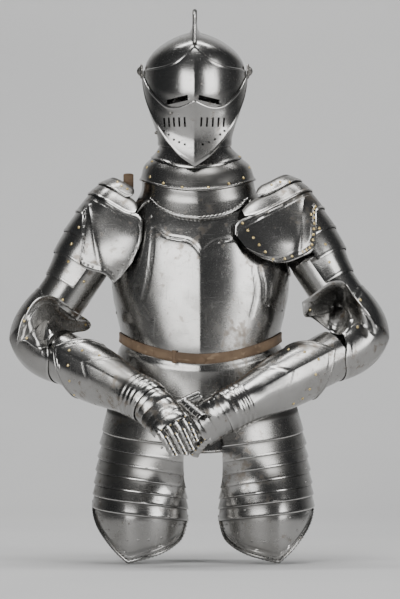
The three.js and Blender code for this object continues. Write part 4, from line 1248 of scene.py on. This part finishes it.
# Elbow wings: each couter spreads in front into a heart-shaped wing that guards the bend of the arm. It
# is one plate with the couter, with a sunk double line along its border.
def fan_plate(name, outline, centre, plates, stand_off):
    points = np.array(outline + outline[:1], float)
    run = np.concatenate([[0], np.cumsum(np.linalg.norm(np.diff(points, axis=0), axis=1))])
    at = np.linspace(0, run[-1], 140, endpoint=False)
    border = np.stack([np.interp(at, run, points[:, 0]), np.interp(at, run, points[:, 1])], -1)
    rings = np.linspace(0.04, 1, 26)
    flat = np.array(centre) + (border[None] - np.array(centre)) * rings[:, None, None]
    graph = bpy.context.evaluated_depsgraph_get()
    trees = [BVHTree.FromObject(obj, graph) for obj in plates]
    limit = np.full(flat.shape[:2], 1e6)
    for i in range(flat.shape[0]):
        for k in range(flat.shape[1]):
            for tree in trees:
                hit = tree.ray_cast(Vector((flat[i, k, 0] / 1000, -2, flat[i, k, 1] / 1000)),
                                    Vector((0, 1, 0)))[0]
                if hit is not None:
                    limit[i, k] = min(limit[i, k], hit.y * 1000 - stand_off)
    seen = limit < 1e5
    across_wing = (flat[..., 0] - centre[0]) / 40
    up_wing = (flat[..., 1] - centre[1]) / 40
    terms = np.stack([np.ones(seen.shape), across_wing, up_wing, across_wing ** 2, across_wing * up_wing,
                      up_wing ** 2],
                     -1)
    bend = np.linalg.lstsq(terms[seen], limit[seen], rcond=None)[0]
    bow = terms @ bend
    bow = bow - np.percentile((bow - limit)[seen], 90)
    bow = np.maximum(bow, limit[seen].min() - 14)
    depth = np.minimum(bow, limit)
    for _ in range(14):
        around = (np.roll(depth, 1, 1) + np.roll(depth, -1, 1)) / 2
        inner = np.concatenate([np.full((1, depth.shape[1]), depth[0].mean()), depth[:-1]])
        outer = np.concatenate([depth[1:], depth[-1:]])
        depth = (around + inner + outer) / 3
    depth = depth - 1.0
    away = np.linalg.norm(flat - border[None], axis=-1)
    relief = sunk_pair(np.abs(away - 10), 2.0, 1.3, 1.0) + bead(away, 1.5, 2.0, 1.2)
    front = np.stack([flat[..., 0], depth - relief, flat[..., 1]], -1)
    rear = np.stack([flat[..., 0], depth + WALL, flat[..., 1]], -1)
    n, m = flat.shape[:2]
    verts = np.concatenate([front.reshape(-1, 3), rear.reshape(-1, 3)]) / 1000
    faces = []
    for i in range(n - 1):
        for k in range(m):
            j = (k + 1) % m
            faces.append((i * m + k, i * m + j, (i + 1) * m + j, (i + 1) * m + k))
            faces.append(tuple(n * m + corner for corner in (i * m + k, (i + 1) * m + k, (i + 1) * m + j,
                                                             i * m + j)))
    for k in range(m):
        j = (k + 1) % m
        faces.append(((n - 1) * m + k, (n - 1) * m + j, (2 * n - 1) * m + j, (2 * n - 1) * m + k))
    faces.append(tuple(range(m)))
    faces.append(tuple(n * m + k for k in range(m)))
    obj = mesh_object(name, verts, faces, 0.9)
    settle(obj)
    paint(obj, "edge", np.exp(-(away / WEAR_REACH) ** 2))
    return finish_piece(obj, steel)


WINGS = {
    "left": (photo((17, 345), (24, 339.5), (31.5, 345), (38.8, 350), (48.5, 347), (63, 337.6), (72.7, 332.7),
                   (87, 331.5), (91, 323), (75, 312), (58, 297.6), (46, 294.5), (34, 300), (27, 311),
                   (20, 324)),
             photo((45, 320))[0]),
    "right": (photo((301.7, 302), (303, 317.5), (312, 317.5), (320.7, 324), (329, 330.5), (338, 335.4),
                    (344.6, 333.7), (352, 326), (358.7, 322), (366, 327), (373, 338), (378, 334), (374, 322),
                    (366, 310), (353, 295), (344.6, 281), (336, 280), (327, 283), (314, 293.6)),
              photo((345, 308))[0]),
}
for label, (outline, centre) in WINGS.items():
    here = arm_plates[label]
    here["wing"] = fan_plate("couter_wing_" + label, rounded(outline + outline[:1], 2)[:-1], centre,
                             [here["couter"], here["upper"], here["lower"]], 1.2)

# Rivets of the arms: rows round the shield borders, cuffs and bands, with a few on each couter wing.
ARM_HEADS = {
    "left": ((27.6, 309), (24.5, 321), (27, 338), (69.7, 350), (82.8, 350), (100, 355), (68.5, 365),
             (70, 380.6), (75, 394.7), (110, 410), (119, 412), (78, 227), (70.6, 243.7), (67.6, 261.4),
             (83.4, 281.4), (116.8, 181), (120.8, 185), (126.7, 188), (135.4, 191), (62, 300), (84, 325)),
    "right": ((357.6, 327), (360.8, 300), (276, 352), (288, 349), (304, 351.6), (318, 359), (315, 374),
              (309, 388.5), (302, 398), (293, 403), (312, 214), (320, 228), (326, 244), (330, 262),
              (310, 310), (272, 184), (281, 181), (290, 181)),
}
for label, heads in ARM_HEADS.items():
    here = arm_plates[label]
    plates = [here["wing"], here["couter"], here["cuff"], here["upper"], here["lower"],
              here["shield"]] + here["bands"]
    rivets("arm_heads_" + label, hit_plates(plates, photo(*heads), 3.1), brass_heads)
    rows = MAIN[label]
    limb_here, shoulder_here = here["limb"], here["shoulder"]
    last_deg = rows["deg"][-1]
    border_deg = list(np.arange(66, last_deg - 8, 7.0 if label == "left" else 6.0))
    spots_deg = border_deg + [last_deg - 6] * 6
    low_here = lookup(rows, "deg", "low", np.array(border_deg)) - 8
    side_top = float(lookup(rows, "deg", "top", last_deg - 6)) + 8
    side_low = float(lookup(rows, "deg", "low", last_deg - 6)) - 10
    spots_s = list(low_here) + list(np.linspace(side_top, side_low, 6))
    a = np.radians(np.array(spots_deg))[:, None]
    v = np.array(spots_s, float)[:, None]
    outward = ring_out(limb_here)
    n = normals_of(shoulder_here, a, v, outward)
    lift = np.maximum(0, (STEP + 0.3) * (v + 24) / 42)[..., None]
    places = shoulder_here(a, v) + n * (lift + 0.1)
    rivets("shield_heads_" + label, [(tuple(places[i, 0]), tuple(n[i, 0]), 2.9) for i in range(len(a))],
           steel if label == "left" else brass_heads)

# Shoulder straps: tan leather from the collar to the inside of each top plate, with a loose end standing
# up on the left.
def strap_tip_point(u, v):
    return np.stack([-142 + 10.2 * u, -10 - 0.004 * v * v + 1.5 * u, v + 0 * u], -1)


tip_across = np.linspace(-1, 1, 14)
strap_tip = plate("strap_tip", strap_tip_point, tip_across,
                  (2.0, 33 - 2.5 * tip_across ** 4, 20),
                  lambda u, v, p: np.stack([0 * u, -1 + 0 * u, 0 * u], -1), wall=STRAP_WALL)
finish_piece(strap_tip, tan_leather)
for strap_side in ("left", "right"):
    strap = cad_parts["shoulder_strap_" + strap_side]
    strap.data.materials.clear()
    strap.data.materials.append(tan_leather)

# Tassets: eight curved lames over each thigh, sliding on rivets and hidden leathers, the lowest one a
# long pointed plate with a roped rim.
THIGH = table(["z", "half", "front"], [-440, 84, 100], [-550, 86, 104], [-600, 91, 106], [-650, 92, 106],
              [-700, 89, 104], [-740, 84, 100])
TIP_INNER = table(["deg", "z"], [-78, -650], [-64, -688], [-47, -706], [-25, -721], [-4, -730], [16, -738])
TIP_OUTER = table(["deg", "z"], [16, -738], [32, -717], [48, -693], [64, -669], [92, -622])
TASSET_EDGES = [-444, -494, -521, -547, -573, -598, -620, -644]
TASSET_NEST = [1.2, 2.4, 1.5, 1.6, 1.5, 1.0, 1.0]
LAME_MIDDLE, LAME_LAP, LAME_SLANT = 16, 9, 0.17
tasset_plates = []
for label, side in (("left", -1), ("right", 1)):
    def thigh_point(angle, z):
        deg = np.degrees(angle)
        keel = 8 * np.maximum(0, 1 - np.abs(deg - LAME_MIDDLE) / 60)
        x = 7.5 + side * (124.5 + lookup(THIGH, "z", "half", z) * np.sin(angle))
        y = -46 - (lookup(THIGH, "z", "front", z) + keel) * np.cos(angle)
        thigh = np.stack([x, y, z], -1)
        phi = np.radians(side * (11 + (86 - 11) * (deg + 78) / 170))
        hip = body_point(phi, z + 42 * np.cos(phi) ** 2)
        hip[..., 2] = z
        w = smooth((-z - 508) / 150)[..., None]
        return hip * (1 - w) + thigh * w

    def thigh_out(angle, z, p):
        return np.stack([side * np.sin(angle), -np.cos(angle), 0 * angle], -1)

    lame_deg = np.linspace(-78, 92, 72)
    lame_rad = np.radians(lame_deg)
    tip_edge = np.where(lame_deg < LAME_MIDDLE, lookup(TIP_INNER, "deg", "z", lame_deg),
                        lookup(TIP_OUTER, "deg", "z", lame_deg))
    for i, high in enumerate(TASSET_EDGES):
        last = i == len(TASSET_EDGES) - 1
        start = (high if i == 0 else high + LAME_LAP) + LAME_SLANT * (lame_deg - LAME_MIDDLE)
        if last:
            end = tip_edge
            rise, sink = 0.0, 0.0
        else:
            end = TASSET_EDGES[i + 1] + LAME_SLANT * (lame_deg - LAME_MIDDLE)
            height = high - TASSET_EDGES[i + 1] + LAME_LAP
            rise = (STEP + TASSET_NEST[i]) * height / (height - LAME_LAP)
            sink = 1.4 if i == 0 else 0.0

        def lame_lift(u, t, v, near, p, rise=rise, sink=sink, last=last):
            high = STEP - 0.4 - sink * (1 - t) + rise * t
            if last:
                return high + sunk_pair(np.abs(near - 14), 1.8, 1.2, 0.8) * (t > 0.3)
            return high + bead(near, 1.6, 1.3, 0.8) * (t > 0.5)

        lame = plate("tasset_plate_%s_%d" % (label, i + 1), thigh_point, lame_rad,
                     (start, end, 50 if last else 16 if i else 24), thigh_out, lame_lift,
                     shaded_lap=9.0 if i else 8.0)
        finish_piece(lame, steel, "tasset_%s_%d" % (label, i + 1))
        tasset_plates.append(lame)
    rim("tasset_rope_" + label, along_edge(thigh_point, thigh_out, lame_rad, tip_edge + 1.5, STEP - 0.4),
        4.2, steel, roped=True)

TASSET_RIVETS = photo(
    (173.3, 461), (170, 474), (171, 486), (172.5, 497), (164.5, 504.8), (168.8, 516.5), (172.3, 526.7),
    (161.7, 537.6), (148.4, 539.8), (138.2, 540), (127, 540), (116.6, 536), (108.4, 530.6), (101.7, 522),
    (99.3, 502.5), (99.5, 489.5), (99, 465), (161.8, 447.7), (235, 458.7), (238, 471.3), (238, 484),
    (236.4, 499), (244.8, 510), (243, 522.7), (237.7, 533.6), (251.8, 541), (264, 542), (277.5, 540),
    (288.6, 538), (297.5, 530.8), (303.7, 522), (308.3, 512.4), (306.8, 483), (307, 469.8), (304, 458),
    (290, 517.5), (282.6, 521.4), depth=0.15)
rivets("tasset_rivets", hit_plates(tasset_plates, TASSET_RIVETS, 2.6), steel)
# The two empty holes are drawn as flat heads of the dark steel: painted shade, standing in for the dark
# hollow of each hole.
rivets("tasset_holes", hit_plates(tasset_plates, photo((122.5, 522.5), (129, 523.4), depth=0.15), 2.4),
       dark_steel, height=0.3)
